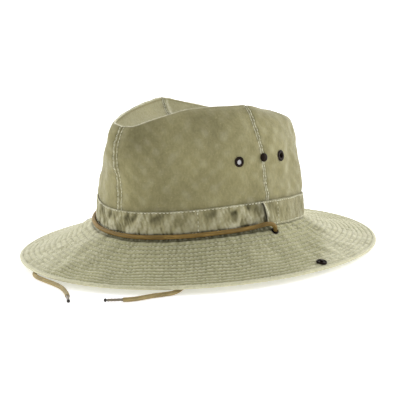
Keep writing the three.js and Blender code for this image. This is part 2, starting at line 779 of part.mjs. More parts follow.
add(hat, 'crown', crownGeometry(crownHoles), cloth(CROWN_COLOUR));
add(hat, 'hat_band', bandGeometry(), cloth(BAND_COLOUR));
add(hat, 'brim', brimGeometry(brimHoles), cloth(BRIM_COLOUR));
add(part, 'chin_cord_front', cordGeometry(FRONT_ROUTE), cloth(CORD_COLOUR));
for (const [side, route] of [['left', LEFT_ROUTE], ['right', RIGHT_ROUTE]]) {
  add(part, `chin_cord_${side}`, cordGeometry(route), cloth(CORD_COLOUR));
  add(part, `cord_tip_${side}`, tipGeometry(), cloth(TIP_COLOUR), tipSeat(route));
}

export default part;
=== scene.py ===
import math

import bmesh
import bpy
import numpy as np
from mathutils import Matrix, Vector


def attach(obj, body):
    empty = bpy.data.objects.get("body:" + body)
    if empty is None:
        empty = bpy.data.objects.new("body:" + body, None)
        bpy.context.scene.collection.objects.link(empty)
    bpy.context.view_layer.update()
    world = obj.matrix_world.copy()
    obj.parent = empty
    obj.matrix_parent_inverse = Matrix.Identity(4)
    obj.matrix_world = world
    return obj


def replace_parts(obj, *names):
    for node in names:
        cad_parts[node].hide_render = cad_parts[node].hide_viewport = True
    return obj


# The looks of a cotton safari hat. Metres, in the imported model's frame: the hat stands on its brim
# at z = 0, with its front towards -Y and the wearer's left towards +X.
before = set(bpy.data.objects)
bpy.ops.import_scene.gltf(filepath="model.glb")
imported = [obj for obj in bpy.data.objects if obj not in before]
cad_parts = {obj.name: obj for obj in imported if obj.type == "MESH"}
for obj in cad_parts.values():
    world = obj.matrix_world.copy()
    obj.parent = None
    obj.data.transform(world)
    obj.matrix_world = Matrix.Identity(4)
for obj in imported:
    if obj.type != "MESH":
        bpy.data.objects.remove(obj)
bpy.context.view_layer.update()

# ---- sizes and places of the cloth, which are the solids' own; angles are in degrees ----

GAP = 0.0003  # that pieces keep where they meet
FLOOR_GAP = 0.00002  # that cloth and cord keep from the floor
LEAN_BACK = 1.455
STAND_DROP = 0.00065  # of the hat's own origin, below the surface that it stands on
STAND_BACK = 0.00298  # of the same point, behind the middle of the brim

CROWN_HALF_WIDTH = 0.0848
CROWN_HALF_LENGTH = 0.1028
CROWN_CLOTH = 0.002
HEM_DROP = 0.004
CREST_MITRE = 2.4  # longest inner mitre at the crest, in cloth thicknesses

SEAM_HEIGHT = 0.031
SEAM_BACK_DROP = 0.0046
SEAM_SIDE_RISE = 0.0043
SEAM_LEFT_DROP = 0.0008

DENT_FORE = -0.012
DENT_HEIGHT = 0.116
DENT_WALL_SHARE = 0.6
DENT_WALL_POWER = 12

BAND_CLOTH = 0.0011
BAND_HEIGHT = 0.0224
BAND_LAP = 0.0004  # gap between the free end and the turn below it
BAND_HIDDEN_END = 14
BAND_FREE_END = -5
BAND_RAMP = 15
BAND_CREST = 2
BAND_FLARE = 0.0022  # of the free end at half height, where the solid's is 1 mm less
BAND_FLARE_ANGLE = 9
BAND_GAP = 0.0004
BAND_TURN = 360 + BAND_HIDDEN_END - BAND_FREE_END

BRIM_HALF_WIDTH = 0.1546
BRIM_HALF_LENGTH = 0.1723
BRIM_FORE_SHIFT = -0.003
BRIM_CLOTH = 0.0026
BRIM_EDGE = 0.0032
BRIM_ROLL = 0.0008
BRIM_HOLLOW = 0.6
FRONT_BELLY_ANGLE = 30

CORD_RADIUS = 0.002


def table(names, *rows):
    """Rows of numbers as named columns."""
    return dict(zip(names.split(), np.array(rows, float).T))


CREST = table(
    "angle out fore high lean",
    (-90, 0, -0.0965, 0.1296, 0),
    (-78, 0.013, -0.095, 0.1315, 0),
    (-60, 0.0228, -0.076, 0.136, 0.0011),
    (-42, 0.033, -0.0525, 0.1393, 0.0029),
    (-21, 0.0436, -0.024, 0.14, 0.0028),
    (0, 0.051, 0.004, 0.1392, 0.002),
    (21, 0.0504, 0.025, 0.1338, 0.0017),
    (45, 0.044, 0.048, 0.1262, 0.0018),
    (68, 0.026, 0.065, 0.1215, 0.001),
    (90, 0, 0.071, 0.1195, 0),
)
WALL = table(
    "rise side back front",
    (0, 0, 0, 0),
    (0.13, 0.015, 0.01, 0.001),
    (0.26, 0.05, 0.03, 0.0019),
    (0.38, 0.13, 0.055, 0.0026),
    (0.5, 0.195, 0.075, 0.0039),
    (0.62, 0.26, 0.11, 0.0062),
    (0.74, 0.375, 0.16, 0.008),
    (0.84, 0.53, 0.24, 0.0076),
    (0.91, 0.65, 0.33, 0.0056),
    (0.96, 0.79, 0.58, 0.0034),
    (1, 1, 1, 0),
)
HOLLOWS = table(
    "angle rise depth wide tall",
    (-66, 0.84, 0.0035, 13, 0.15),
    (-114, 0.84, 0.003, 13, 0.15),
    (-34, 0.34, 0.0012, 16, 0.16),
    (30, 0.42, 0.0016, 8, 0.2),
    (41, 0.45, -0.0012, 6, 0.25),
    (150, 0.5, 0.002, 14, 0.2),
    (116, 0.6, 0.0015, 10, 0.22),
)
BRIM_LINE = table(
    "angle high",
    (-180, 0.0008),
    (-150, 0.0018),
    (-120, 0.0045),
    (-75, 0.0044),
    (-30, 0.0046),
    (0, 0.0037),
    (50, 0.0001),
    (90, 0.0004),
    (120, 0),
    (150, 0),
    (180, 0.0008),
)
BRIM_RIDGES = table(
    "angle height wide",
    (-113, 0.002, 7),
    (37, 0.0015, 7),
    (-72, -0.001, 9),
    (140, 0.0015, 10),
)
FRONT_ROUTE = (
    (0.09195, 0.00365, 0.02845),
    (0.09255, 0.00365, 0.0296),
    (0.0935, 0.0033, 0.0316),
    (0.0944, 0.0017, 0.0346),
    (0.0945, -0.0019, 0.0374),
    (0.0933, -0.007, 0.0386),
    (0.0913, -0.0122, 0.0378),
    (0.0889, -0.0178, 0.0368),
    (0.0856, -0.0266, 0.0363),
    (0.0813, -0.0394, 0.0361),
    (0.0767, -0.0501, 0.0361),
    (0.0707, -0.0609, 0.0359),
    (0.0637, -0.0708, 0.0356),
    (0.0556, -0.0796, 0.0352),
    (0.0467, -0.0872, 0.0349),
    (0.0371, -0.0934, 0.0345),
    (0.027, -0.0981, 0.0341),
    (0.0163, -0.1013, 0.034),
    (0.0055, -0.1029, 0.034),
    (-0.0055, -0.1029, 0.0341),
    (-0.0163, -0.1013, 0.0344),
    (-0.027, -0.0981, 0.0348),
    (-0.0371, -0.0933, 0.0354),
    (-0.0467, -0.0871, 0.0357),
    (-0.0556, -0.0796, 0.0361),
    (-0.0637, -0.0708, 0.0366),
    (-0.0707, -0.0609, 0.037),
    (-0.0768, -0.0501, 0.0372),
    (-0.0813, -0.0393, 0.0373),
    (-0.0856, -0.0266, 0.0373),
    (-0.0889, -0.0178, 0.0377),
    (-0.0914, -0.0122, 0.0386),
    (-0.0934, -0.007, 0.0394),
    (-0.0947, -0.0019, 0.0382),
    (-0.0946, 0.0017, 0.0353),
    (-0.0936, 0.0033, 0.0323),
    (-0.0926, 0.00365, 0.0303),
    (-0.0919, 0.00365, 0.02915),
)
LEFT_ROUTE = (
    (0.09178, 0.00335, 0.02815),
    (0.0911, 0.0033, 0.027),
    (0.0901, 0.0031, 0.0246),
    (0.0894, 0.0024, 0.0204),
    (0.0895, 0.0006, 0.0148),
    (0.0903, -0.003, 0.0092),
    (0.0915, -0.0082, 0.0049),
    (0.0926, -0.015, 0.0027),
    (0.0931, -0.0235, 0.00203),
    (0.093, -0.034, 0.00203),
    (0.0925, -0.045, 0.00203),
    (0.0918, -0.056, 0.00203),
    (0.0909, -0.067, 0.00203),
    (0.0899, -0.078, 0.00203),
    (0.0888, -0.089, 0.00203),
    (0.0881, -0.0995, 0.00203),
    (0.0893, -0.1095, 0.00203),
    (0.0931, -0.1187, 0.00203),
    (0.0972, -0.127, 0.00203),
    (0.098, -0.1345, 0.00203),
    (0.095, -0.1415, 0.00203),
    (0.0912, -0.1485, 0.00203),
    (0.0889, -0.1565, 0.00203),
    (0.0873, -0.1635, 0.00203),
    (0.0846, -0.1696, 0.00203),
    (0.0819, -0.1732, 0.00208),
    (0.0793, -0.1753, 0.00203),
)
RIGHT_ROUTE = (
    (-0.09167, 0.00337, 0.02895),
    (-0.09095, 0.0033, 0.0278),
    (-0.09, 0.0031, 0.0254),
    (-0.0893, 0.0024, 0.0212),
    (-0.0894, 0.0006, 0.0154),
    (-0.0902, -0.003, 0.0096),
    (-0.0914, -0.0082, 0.0051),
    (-0.0924, -0.015, 0.00275),
    (-0.093, -0.0235, 0.00203),
    (-0.0932, -0.034, 0.00203),
    (-0.0927, -0.045, 0.00203),
    (-0.0914, -0.056, 0.00203),
    (-0.0893, -0.067, 0.00203),
    (-0.0865, -0.0776, 0.00203),
    (-0.0831, -0.088, 0.00203),
    (-0.0793, -0.0982, 0.00203),
    (-0.0753, -0.1084, 0.00203),
    (-0.0711, -0.1185, 0.00203),
    (-0.0667, -0.1285, 0.00203),
    (-0.0623, -0.1384, 0.00203),
    (-0.0579, -0.148, 0.00203),
    (-0.0529, -0.1572, 0.00203),
    (-0.0456, -0.1644, 0.00203),
    (-0.0358, -0.1684, 0.00203),
    (-0.0254, -0.1709, 0.00203),
    (-0.0145, -0.1732, 0.00203),
    (-0.004, -0.1756, 0.00203),
    (0.006, -0.1792, 0.00203),
    (0.0155, -0.1844, 0.00203),
    (0.0235, -0.1899, 0.00203),
    (0.0292, -0.194, 0.00208),
    (0.0323, -0.1967, 0.00203),
)

# ---- shape of the cloth, in the hat's own frame before it leans; angles are in degrees ----


def read(rows, column, place):
    """Smooth curve through a column of a table, at places given in its first column."""
    x, y = next(iter(rows.values())), rows[column]
    last = len(x) - 1
    i = np.clip(np.searchsorted(x, place) - 1, 0, last - 1)

    def slope(a, b):
        return (y[b] - y[a]) / (x[b] - x[a])

    width = x[i + 1] - x[i]
    t = np.clip((place - x[i]) / width, 0, 1)
    start = slope(np.maximum(i - 1, 0), i + 1) * width
    end = slope(i, np.minimum(i + 2, last)) * width
    step = y[i + 1] - y[i]
    return y[i] + t * (start + t * (3 * step - 2 * start - end + t * (start + end - 2 * step)))


def wrapped(angle):
    return np.mod(angle + 180, 360) - 180


def bump(distance):
    return np.exp(-distance * distance)


def bump_at(angle, place, wide):
    """A bump round a place on the head, both in degrees."""
    return bump(wrapped(angle - place) / wide)


def arch(share, power=1.0):
    """Rises from 0 to 1 and falls back to 0, as the share goes from 0 to 1."""
    return np.sin(math.pi * np.clip(share, 0, 1) ** power)


def smooth_step(x, low, high):
    t = np.clip((x - low) / (high - low), 0, 1)
    return t * t * (3 - 2 * t)


def stack(x, y, z):
    return np.stack(np.broadcast_arrays(x, y, z), axis=-1)


def unit(vectors):
    return vectors / np.maximum(np.linalg.norm(vectors, axis=-1, keepdims=True), 1e-12)


def seam_height(angle):
    a = np.radians(angle)
    sides = SEAM_SIDE_RISE * np.cos(2 * a) - SEAM_LEFT_DROP * np.cos(a)
    return SEAM_HEIGHT - SEAM_BACK_DROP * np.sin(a) + sides


def ellipse(angle, half_width, half_length):
    a = np.radians(angle)
    return stack(half_width * np.cos(a), half_length * np.sin(a), 0.0)


def outward(angle):
    return unit(ellipse(angle, 1 / CROWN_HALF_WIDTH, 1 / CROWN_HALF_LENGTH))


def crest(angle):
    """The fold where the wall turns over into the dent."""
    a = wrapped(angle)
    right = np.abs(a) > 90
    place = np.where(right, np.sign(a) * 180 - a, a)
    side = np.where(right, -1, 1)
    high = read(CREST, "high", place) + side * read(CREST, "lean", place)
    return stack(side * read(CREST, "out", place), read(CREST, "fore", place), high)


def wall(angle, rise):
    """Outside of the crown's wall, from the sewn line (rise 0) to the crest (rise 1)."""
    foot = ellipse(angle, CROWN_HALF_WIDTH, CROWN_HALF_LENGTH)
    top = crest(angle)
    back = np.maximum(np.sin(np.radians(angle)), 0)
    side = read(WALL, "side", rise)
    inward = side + (read(WALL, "back", rise) - side) * back
    point = foot + (top * (1, 1, 0) - foot) * inward[..., None]
    from_front = np.minimum(np.abs(wrapped(angle + 90)) / FRONT_BELLY_ANGLE, 1)
    out = read(WALL, "front", rise) * np.cos(from_front * math.pi / 2) ** 2
    for at, high, depth, wide, tall in zip(*HOLLOWS.values()):
        out = out - depth * bump_at(angle, at, wide) * bump((rise - high) / tall) * (1 - rise**8)
    point = point + outward(angle) * out[..., None]
    foot_height = seam_height(angle)
    point[..., 2] = foot_height + (top[..., 2] - foot_height) * rise
    return point


def dent(angle, share):
    """Outside of the cloth in the dent, from its middle (share 0) to the crest (share 1)."""
    top = crest(angle)
    middle = np.array((0, DENT_FORE, DENT_HEIGHT))
    fall = DENT_WALL_SHARE * share**DENT_WALL_POWER + (1 - DENT_WALL_SHARE) * share**2
    point = middle + (top - middle) * share[..., None]
    point[..., 2] = DENT_HEIGHT + (top[..., 2] - DENT_HEIGHT) * fall
    return point


LEAN = np.array(Matrix.Rotation(-math.radians(LEAN_BACK), 3, "X"))
UPRIGHT = LEAN[2]
UP = np.array((0, 0, 1))


def brim_edge(angle, inset=0.0):
    point = ellipse(angle, BRIM_HALF_WIDTH - inset, BRIM_HALF_LENGTH - inset)
    point = point + np.array((0, BRIM_FORE_SHIFT, 0))
    height = np.maximum(read(BRIM_LINE, "high", wrapped(angle)), 0)
    level = STAND_DROP - point[..., :2] @ UPRIGHT[:2]
    point[..., 2] = (level + height) / UPRIGHT[2]
    return point


def brim_top(angle, share):
    """Upper side of the brim, from the crown (share 0) to the edge (share 1)."""
    inner = ellipse(angle, CROWN_HALF_WIDTH + GAP, CROWN_HALF_LENGTH + GAP)
    edge = brim_edge(angle)
    point = inner + (edge - inner) * share[..., None]
    fall = share + BRIM_HOLLOW * share * (1 - share)
    inner_height = seam_height(angle)
    point[..., 2] = inner_height + (edge[..., 2] + BRIM_EDGE - inner_height) * fall
    for at, height, wide in zip(*BRIM_RIDGES.values()):
        point[..., 2] += height * bump_at(angle, at, wide) * np.sin(math.pi * share)
    return point


def to_world(points):
    """Leans the hat back and sets it down, as it stands on the floor."""
    return points @ LEAN.T + np.array((0, STAND_BACK, -STAND_DROP))


def waves(angle, height, seed, swells, per_metre, parts=16):
    """Smooth noise, about as strong as 1, that closes on itself round the head."""
    random = np.random.default_rng(seed)
    total = 0
    for _ in range(parts):
        turns = round(random.uniform(0.4, 1.6) * swells) * random.choice((-1, 1))
        lift = random.uniform(-1.6, 1.6) * per_metre
        phase = random.uniform(0, 2 * math.pi)
        total = total + np.cos(turns * np.radians(angle) + 2 * math.pi * lift * height + phase)
    return total * math.sqrt(2 / parts)


# ---- meshes ----


def grid_faces(rows, columns, ring=True, loop=False, start=0):
    """Quads between rows of points; a ring closes each row, a loop joins the last row to the first."""
    row = np.arange(rows if loop else rows - 1)[:, None]
    column = np.arange(columns if ring else columns - 1)[None, :]
    near, far = row * columns, (row + 1) % rows * columns
    beside = (column + 1) % columns
    quads = np.stack((near + column, near + beside, far + beside, far + column), axis=-1)
    return (quads.reshape(-1, 4) + start).tolist()


def new_piece(name, points, faces, material, node_slot, sharp=50, values=None):
    """A mesh object that rides on the body, with its points' values as attributes."""
    mesh = bpy.data.meshes.new(name)
    mesh.from_pydata(np.asarray(points).reshape(-1, 3).tolist(), [], faces)
    for key, value in (values or {}).items():
        kind, field = ("FLOAT_VECTOR", "vector") if np.ndim(value) > 1 else ("FLOAT", "value")
        attribute = mesh.attributes.new(key, kind, "POINT")
        attribute.data.foreach_set(field, np.asarray(value, np.float32).ravel())
    mesh.polygons.foreach_set("use_smooth", [True] * len(mesh.polygons))
    mesh.set_sharp_from_angle(angle=math.radians(sharp))
    mesh.materials.append(material)
    mesh.validate()
    piece = bpy.data.objects.new(name, mesh)
    bpy.context.scene.collection.objects.link(piece)
    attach(piece, "root")
    return piece


def grid_normals(points, ring=True):
    """Directions square to a grid of points."""
    if ring:
        along = np.roll(points, -1, 1) - np.roll(points, 1, 1)
    else:
        along = np.gradient(points, axis=1)
    return unit(np.cross(along, np.gradient(points, axis=0)))


def travelled(path):
    """Distance from a path's start to each of its points."""
    return np.concatenate(([0], np.cumsum(np.linalg.norm(np.diff(path, axis=0), axis=1))))


def tube_frames(path):
    """Two directions across a path that turn as little as they can."""
    along = unit(np.gradient(path, axis=0))
    across = np.empty_like(path)
    side = unit(np.cross(along[0], (0.0, 0.0, 1.0)))
    for i, direction in enumerate(along):
        side = unit(side - direction * (side @ direction))
        across[i] = side
    return across, np.cross(along, across)


# ---- materials ----


class Nodes:
    """Short words for building a material's nodes."""

    def __init__(self, name):
        self.material = bpy.data.materials.new(name)
        self.material.use_nodes = True
        self.tree = self.material.node_tree
        self.shader = self.tree.nodes["Principled BSDF"]
        self.place = self.tree.nodes.new("ShaderNodeTexCoord").outputs["Object"]

    def add(self, kind, **settings):
        node = self.tree.nodes.new(kind)
        for key, value in settings.items():
            setattr(node, key, value)
        return node

    def feed(self, socket, value):
        if isinstance(value, bpy.types.NodeSocket):
            self.tree.links.new(value, socket)
        else:
            socket.default_value = value

    def finish(self, **inputs):
        """Feeds the shader, whose inputs are named in small letters here, and gives the material."""
        sockets = {socket.name.lower().replace(" ", "_"): socket for socket in self.shader.inputs}
        for name, value in inputs.items():
            self.feed(sockets[name], value)
        return self.material

    def attribute(self, name, output="Fac"):
        return self.add("ShaderNodeAttribute", attribute_name=name).outputs[output]

    def stretched(self, vector, scale):
        node = self.add("ShaderNodeVectorMath", operation="MULTIPLY")
        self.feed(node.inputs[0], vector)
        self.feed(node.inputs[1], scale)
        return node.outputs[0]

    def noise(self, scale, detail=3.0, vector=None, roughness=0.55):
        node = self.add("ShaderNodeTexNoise")
        self.feed(node.inputs["Vector"], vector or self.place)
        self.feed(node.inputs["Scale"], scale)
        self.feed(node.inputs["Detail"], detail)
        self.feed(node.inputs["Roughness"], roughness)
        return node.outputs["Fac"]

    def range(self, value, low, high, to_low=0.0, to_high=1.0):
        node = self.add("ShaderNodeMapRange")
        for socket, number in zip(node.inputs, (value, low, high, to_low, to_high)):
            self.feed(socket, number)
        return node.outputs["Result"]

    def math(self, operation, a, b=0.0):
        node = self.add("ShaderNodeMath", operation=operation)
        self.feed(node.inputs[0], a)
        self.feed(node.inputs[1], b)
        return node.outputs[0]

    def mix(self, share, a, b):
        node = self.add("ShaderNodeMix", data_type="RGBA")
        self.feed(node.inputs["Factor"], share)
        self.feed(node.inputs[6], a)
        self.feed(node.inputs[7], b)
        return node.outputs[2]

    def tinted(self, colour, factor):
        node = self.add("ShaderNodeVectorMath", operation="SCALE")
        self.feed(node.inputs[0], colour)
        self.feed(node.inputs["Scale"], factor)
        return node.outputs[0]

    def bumps(self, height, distance, strength=1.0, under=None):
        node = self.add("ShaderNodeBump")
        self.feed(node.inputs["Height"], height)
        self.feed(node.inputs["Distance"], distance)
        self.feed(node.inputs["Strength"], strength)
        if under:
            self.feed(node.inputs["Normal"], under)
        return node.outputs["Normal"]


def grey(value):
    return (value, value, value, 1.0)


def shade(colour, factor=1.0):
    """A colour, or a lighter or darker one."""
    return (*(min(channel * factor, 1.0) for channel in colour), 1.0)


# ---- camera ----

VIEW_AZIMUTH = 44.462  # degrees round the hat, from its front towards its left
VIEW_ELEVATION = 12.679
VIEW_ROLL = -1.931
VIEW_PLACE = (1.59998, -1.62718, 0.55975)
VIEW_LENS = 228.8  # millimetres, for a sensor 36 mm wide


def add_camera():
    camera = bpy.data.objects.new("camera", bpy.data.cameras.new("camera"))
    camera.data.lens = VIEW_LENS
    turn = Matrix.Rotation(math.radians(VIEW_AZIMUTH), 4, "Z")
    tilt = Matrix.Rotation(math.radians(90 - VIEW_ELEVATION), 4, "X")
    roll = Matrix.Rotation(math.radians(VIEW_ROLL), 4, "Z")
    camera.matrix_world = Matrix.Translation(VIEW_PLACE) @ turn @ tilt @ roll
    bpy.context.scene.collection.objects.link(camera)
    bpy.context.scene.camera = camera


add_camera()

# ---- finishes ----

CROWN_COLOUR = (0.283, 0.258, 0.130)
BAND_COLOUR = (0.285, 0.261, 0.140)
BRIM_COLOUR = (0.410, 0.395, 0.224)
THREAD_COLOUR = (0.860, 0.830, 0.620)
CORD_COLOUR = (0.262, 0.168, 0.048)
TAIL_COLOUR = (0.365, 0.282, 0.124)
METAL_COLOUR = (0.014, 0.009, 0.006)
SCREEN_COLOUR = (0.620, 0.600, 0.600)
SLEEVE_COLOUR = (0.210, 0.175, 0.125)

PALE_CLOTH = (0.820, 0.795, 0.610)  # pale colour that cloth wears to, also given to painted light
DEEPEST_SHADE = 0.18  # what is left of the cloth's colour under its darkest painted shade
NO_SHEEN = 0.8  # how much painted shade the cloth has where its sheen is gone


TWILL_PITCH = 0.0009  # from one line of the twill to the next


def twill(n, threads):
    """Fine slanting lines, as a height; threads is their number round the head per radian."""
    split = n.add("ShaderNodeSeparateXYZ")
    n.feed(split.inputs[0], n.place)
    turn = n.math("ARCTAN2", split.outputs["Y"], split.outputs["X"])
    warp = n.math("MULTIPLY", turn, threads)
    rise = n.math("MULTIPLY", split.outputs["Z"], 2 * math.pi / TWILL_PITCH)
    weft = n.math("SINE", n.math("SUBTRACT", warp, n.math("MULTIPLY", rise, 3.0)))
    return n.math("ADD", n.math("SINE", n.math("ADD", warp, rise)), n.math("MULTIPLY", weft, 0.5))


def cotton(name, colour, threads, mottle=0.14, sheen=0.36):
    """Washed cotton. Its attributes say where wear and painted light make it pale, and where painted shade
    makes it dark.
    """
    n = Nodes(name)
    patches = n.range(n.noise(22, 4), 0.3, 0.7)
    tone = n.mix(patches, shade(colour, 1 - mottle), shade(colour, 1 + mottle))
    grain = n.range(n.noise(150, 5, n.stretched(n.place, (1, 1, 0.35))), 0.3, 0.7)
    tone = n.mix(n.math("MULTIPLY", grain, 0.35), tone, shade(colour, 1 + 1.3 * mottle))
    slubs = n.noise(500, 4, n.stretched(n.place, (1, 1, 0.6)))
    tone = n.tinted(tone, n.range(slubs, 0.35, 0.65, 1 - 0.6 * mottle, 1 + 0.6 * mottle))
    specks = n.range(n.noise(640, 2), 0.6, 0.72, 0.0, 0.45)
    tone = n.mix(specks, tone, shade(colour, 1.5))
    # painted shade: the cloth darkened in creases, grooves and hollows, and beside and under the parts that
    # lie on it
    painted_shade = n.math("MULTIPLY", n.attribute("painted_shade"), n.range(n.noise(260, 3), 0.2, 0.7, 0.6, 1.0))
    tone = n.mix(painted_shade, tone, shade(colour, DEEPEST_SHADE))
    # pale where wear has thinned the cloth, and painted light on raised parts and on lit stretches
    wear_and_painted_light = n.math("MULTIPLY", n.attribute("wear_and_painted_light"), n.range(n.noise(420, 4), 0.25, 0.65, 0.35, 1.0))
    weave = n.bumps(twill(n, threads), 0.00004, 0.6)
    rough = n.bumps(n.noise(600, 4), 0.0004, 0.6, weave)
    return n.finish(
        base_color=n.mix(wear_and_painted_light, tone, shade(PALE_CLOTH)),
        roughness=0.93,
        specular_ior_level=0.1,
        sheen_weight=n.range(painted_shade, 0, NO_SHEEN, sheen, 0),
        sheen_roughness=0.4,
        normal=n.bumps(n.noise(90, 4), 0.0015, 0.4, rough),
    )


def speckled(name, colour, grain, dark, light, roughness):
    """One colour in finely mixed shades."""
    n = Nodes(name)
    tone = n.mix(n.noise(*grain), shade(colour, dark), shade(colour, light))
    n.finish(base_color=tone, roughness=roughness)
    return n


def thread(name, colour):
    n = speckled(name, colour, (240, 3), 0.7, 1.25, 0.7)
    return n.finish(normal=n.bumps(n.noise(3000, 2), 0.0001, 0.5))


def gauze(name, colour):
    """Fine pale netting."""
    return speckled(name, colour, (900, 2), 0.8, 1.0, 0.8).material


def sleeve(name, colour, roughness):
    n = speckled(name, colour, (500, 3), 0.7, 1.3, roughness)
    return n.finish(normal=n.bumps(n.noise(700, 2), 0.0002, 0.4))


def waxed_cord(name, colour):
    """A waxed cord, streaked along its length. The attribute lay is its place in the straight cord."""
    n = Nodes(name)
    lay = n.attribute("lay", "Vector")
    streaks = n.range(n.noise(1, 4, n.stretched(lay, (45, 900, 900))), 0.3, 0.7)
    tone = n.mix(streaks, shade(colour, 0.5), shade(colour, 1.35))
    blotches = n.range(n.noise(1, 3, n.stretched(lay, (70, 160, 160))), 0.4, 0.75)
    tone = n.mix(n.math("MULTIPLY", blotches, 0.7), tone, shade(colour, 0.5))
    rubbed = n.range(n.noise(1, 4, n.stretched(lay, (260, 700, 700))), 0.6, 0.75)
    tone = n.mix(n.math("MULTIPLY", rubbed, 0.5), tone, shade(colour, 1.8))
    return n.finish(
        base_color=tone,
        roughness=n.range(streaks, 0, 1, 0.5, 0.72),
        specular_ior_level=0.2,
        normal=n.bumps(streaks, 0.0002, 0.6),
    )


def black_metal(name, colour):
    """Black enamel that has rubbed thin."""
    n = Nodes(name)
    rubbed = n.range(n.noise(600, 4), 0.52, 0.72)
    return n.finish(
        base_color=n.mix(rubbed, shade(colour), shade(colour, 3.2)),
        metallic=0.0,
        specular_ior_level=0.05,
        roughness=n.range(n.noise(900, 3), 0.3, 0.7, 0.26, 0.44),
        normal=n.bumps(n.noise(1200, 3), 0.0001, 0.3),
    )


CROWN_COTTON = cotton("crown_cotton", CROWN_COLOUR, 640)
BAND_COTTON = cotton("band_cotton", BAND_COLOUR, 640, 0.22)
BRIM_COTTON = cotton("brim_cotton", BRIM_COLOUR, 800, 0.12, 0.42)
THREAD = thread("thread", THREAD_COLOUR)
FRONT_WAX = waxed_cord("front_cord_wax", CORD_COLOUR)
TAIL_WAX = waxed_cord("tail_cord_wax", TAIL_COLOUR)
METAL = black_metal("black_metal", METAL_COLOUR)
SCREEN = gauze("vent_gauze", SCREEN_COLOUR)
SLEEVE = sleeve("cord_sleeve", SLEEVE_COLOUR, 0.6)
BEAD = sleeve("cord_bead", METAL_COLOUR, 0.35)

# ---- chin cord ----

ROUTE_DEGREE = 3
CORD_SIDES = 20
CORD_STEP = 0.0009
CORD_STRANDS = 5  # shallow ridges that wind round the cord
STRAND_PITCH = 0.016
STRAND_RELIEF = 0.035  # of the radius
CORD_SWELL = 0.015  # of the radius


def spline(route, spacing=CORD_STEP):
    """Points along the smooth curve that a route's points draw, and which the cord's solid follows."""
    control = np.array(route)
    spans = len(control) - ROUTE_DEGREE
    knots = np.clip((np.arange(len(control) + ROUTE_DEGREE + 1) - ROUTE_DEGREE) / spans, 0, 1)
    length = np.linalg.norm(np.diff(control, axis=0), axis=1).sum()
    u = np.linspace(0, 1 - 1e-9, int(length / spacing))[:, None]
    basis = ((knots[:-1] <= u) & (u < knots[1:])).astype(float)
    for degree in range(1, ROUTE_DEGREE + 1):
        rise = knots[degree:-1] - knots[: -degree - 1]
        fall = knots[degree + 1 :] - knots[1:-degree]
        left = np.divide(u - knots[: -degree - 1], rise, out=np.zeros((len(u), len(rise))), where=rise > 0)
        right = np.divide(knots[degree + 1 :] - u, fall, out=np.zeros((len(u), len(fall))), where=fall > 0)
        basis = left * basis[:, :-1] + right * basis[:, 1:]
    return basis @ control


def add_cord(name, node, route, material, length, exit_side):
    """One stretch of the cord, which leaves the object at a cord eyelet; the exit side given is not used.
    """
    path = spline(route)
    travel = travelled(path)
    across, upward = tube_frames(path)
    turn = np.arange(CORD_SIDES) * 2 * math.pi / CORD_SIDES
    strand = turn[None, :] * CORD_STRANDS + travel[:, None] * 2 * math.pi * CORD_STRANDS / STRAND_PITCH
    swell = CORD_SWELL * waves(np.degrees(turn)[None, :], travel[:, None], 5, 2, 90)
    radius = CORD_RADIUS * (1 - STRAND_RELIEF / 2 + STRAND_RELIEF * np.abs(np.cos(strand / 2)) + swell)
    points = path[:, None] + radius[..., None] * (
        np.cos(turn)[:, None] * across[:, None] + np.sin(turn)[:, None] * upward[:, None]
    )
    points[..., 2] = np.maximum(points[..., 2], FLOOR_GAP)
    faces = grid_faces(len(path), CORD_SIDES)
    faces += [list(range(CORD_SIDES))[::-1], [(len(path) - 1) * CORD_SIDES + i for i in range(CORD_SIDES)]]
    lay = stack(travel[:, None], radius * np.cos(turn), radius * np.sin(turn))
    piece = new_piece(name, points, faces, material, "cord", values={"lay": lay.reshape(-1, 3)})
    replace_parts(piece, node)
    return piece


# ---- turned pieces: fittings and the cord's tips ----

TURN_SIDES = 40


def turned(name, profile, place, axis, material, node_slot, sides=TURN_SIDES):
    """A profile of (radius, height) turned round an axis; it closes on itself or ends on the axis."""
    across = unit(np.cross(axis, (0.3, 0.5, 0.8)))
    upward = np.cross(axis, across)
    turn = np.arange(sides) * 2 * math.pi / sides
    around = np.cos(turn)[:, None] * across + np.sin(turn)[:, None] * upward
    points, faces = [], []
    solid = profile[0][0] == 0
    rings = profile[1:-1] if solid else profile
    for radius, height in rings:
        points.extend(place + radius * around + height * axis)
    faces += grid_faces(len(rings), sides, loop=not solid)
    if solid:
        for (_, height), first in ((profile[0], 0), (profile[-1], (len(rings) - 1) * sides)):
            centre = len(points)
            points.append(place + height * axis)
            faces += [[centre, first + i, first + (i + 1) % sides] for i in range(sides)]
    return tidy(new_piece(name, points, faces, material, node_slot, sharp=35))


def tidy(piece):
    """Turns a closed mesh's faces outwards."""
    mesh = bmesh.new()
    mesh.from_mesh(piece.data)
    bmesh.ops.recalc_face_normals(mesh, faces=mesh.faces)
    mesh.to_mesh(piece.data)
    mesh.free()
    return piece


def rounded(outer, inner, low, high, steps=6):
    """Points over a round ridge, from its outer foot to its inner foot."""
    turn = np.linspace(0, math.pi, steps + 1)
    middle, half = (outer + inner) / 2, (outer - inner) / 2
    return [(middle + half * math.cos(t), low + (high - low) * math.sin(t)) for t in turn]


# ---- stitches ----

STITCH_SIDES = 5
# each ring's place along the stitch, its height and its girth, in lengths and in radii
STITCH_RINGS = np.array(((-0.5, -0.4, 0.35), (-0.28, 0.35, 1), (0.28, 0.35, 1), (0.5, -0.4, 0.35)))
STITCH_STRAY = 0.1  # how far a stitch is off its place, of the pitch
STITCH_THICK = (0.6, 1.2)  # how thick stitches are, of the radius


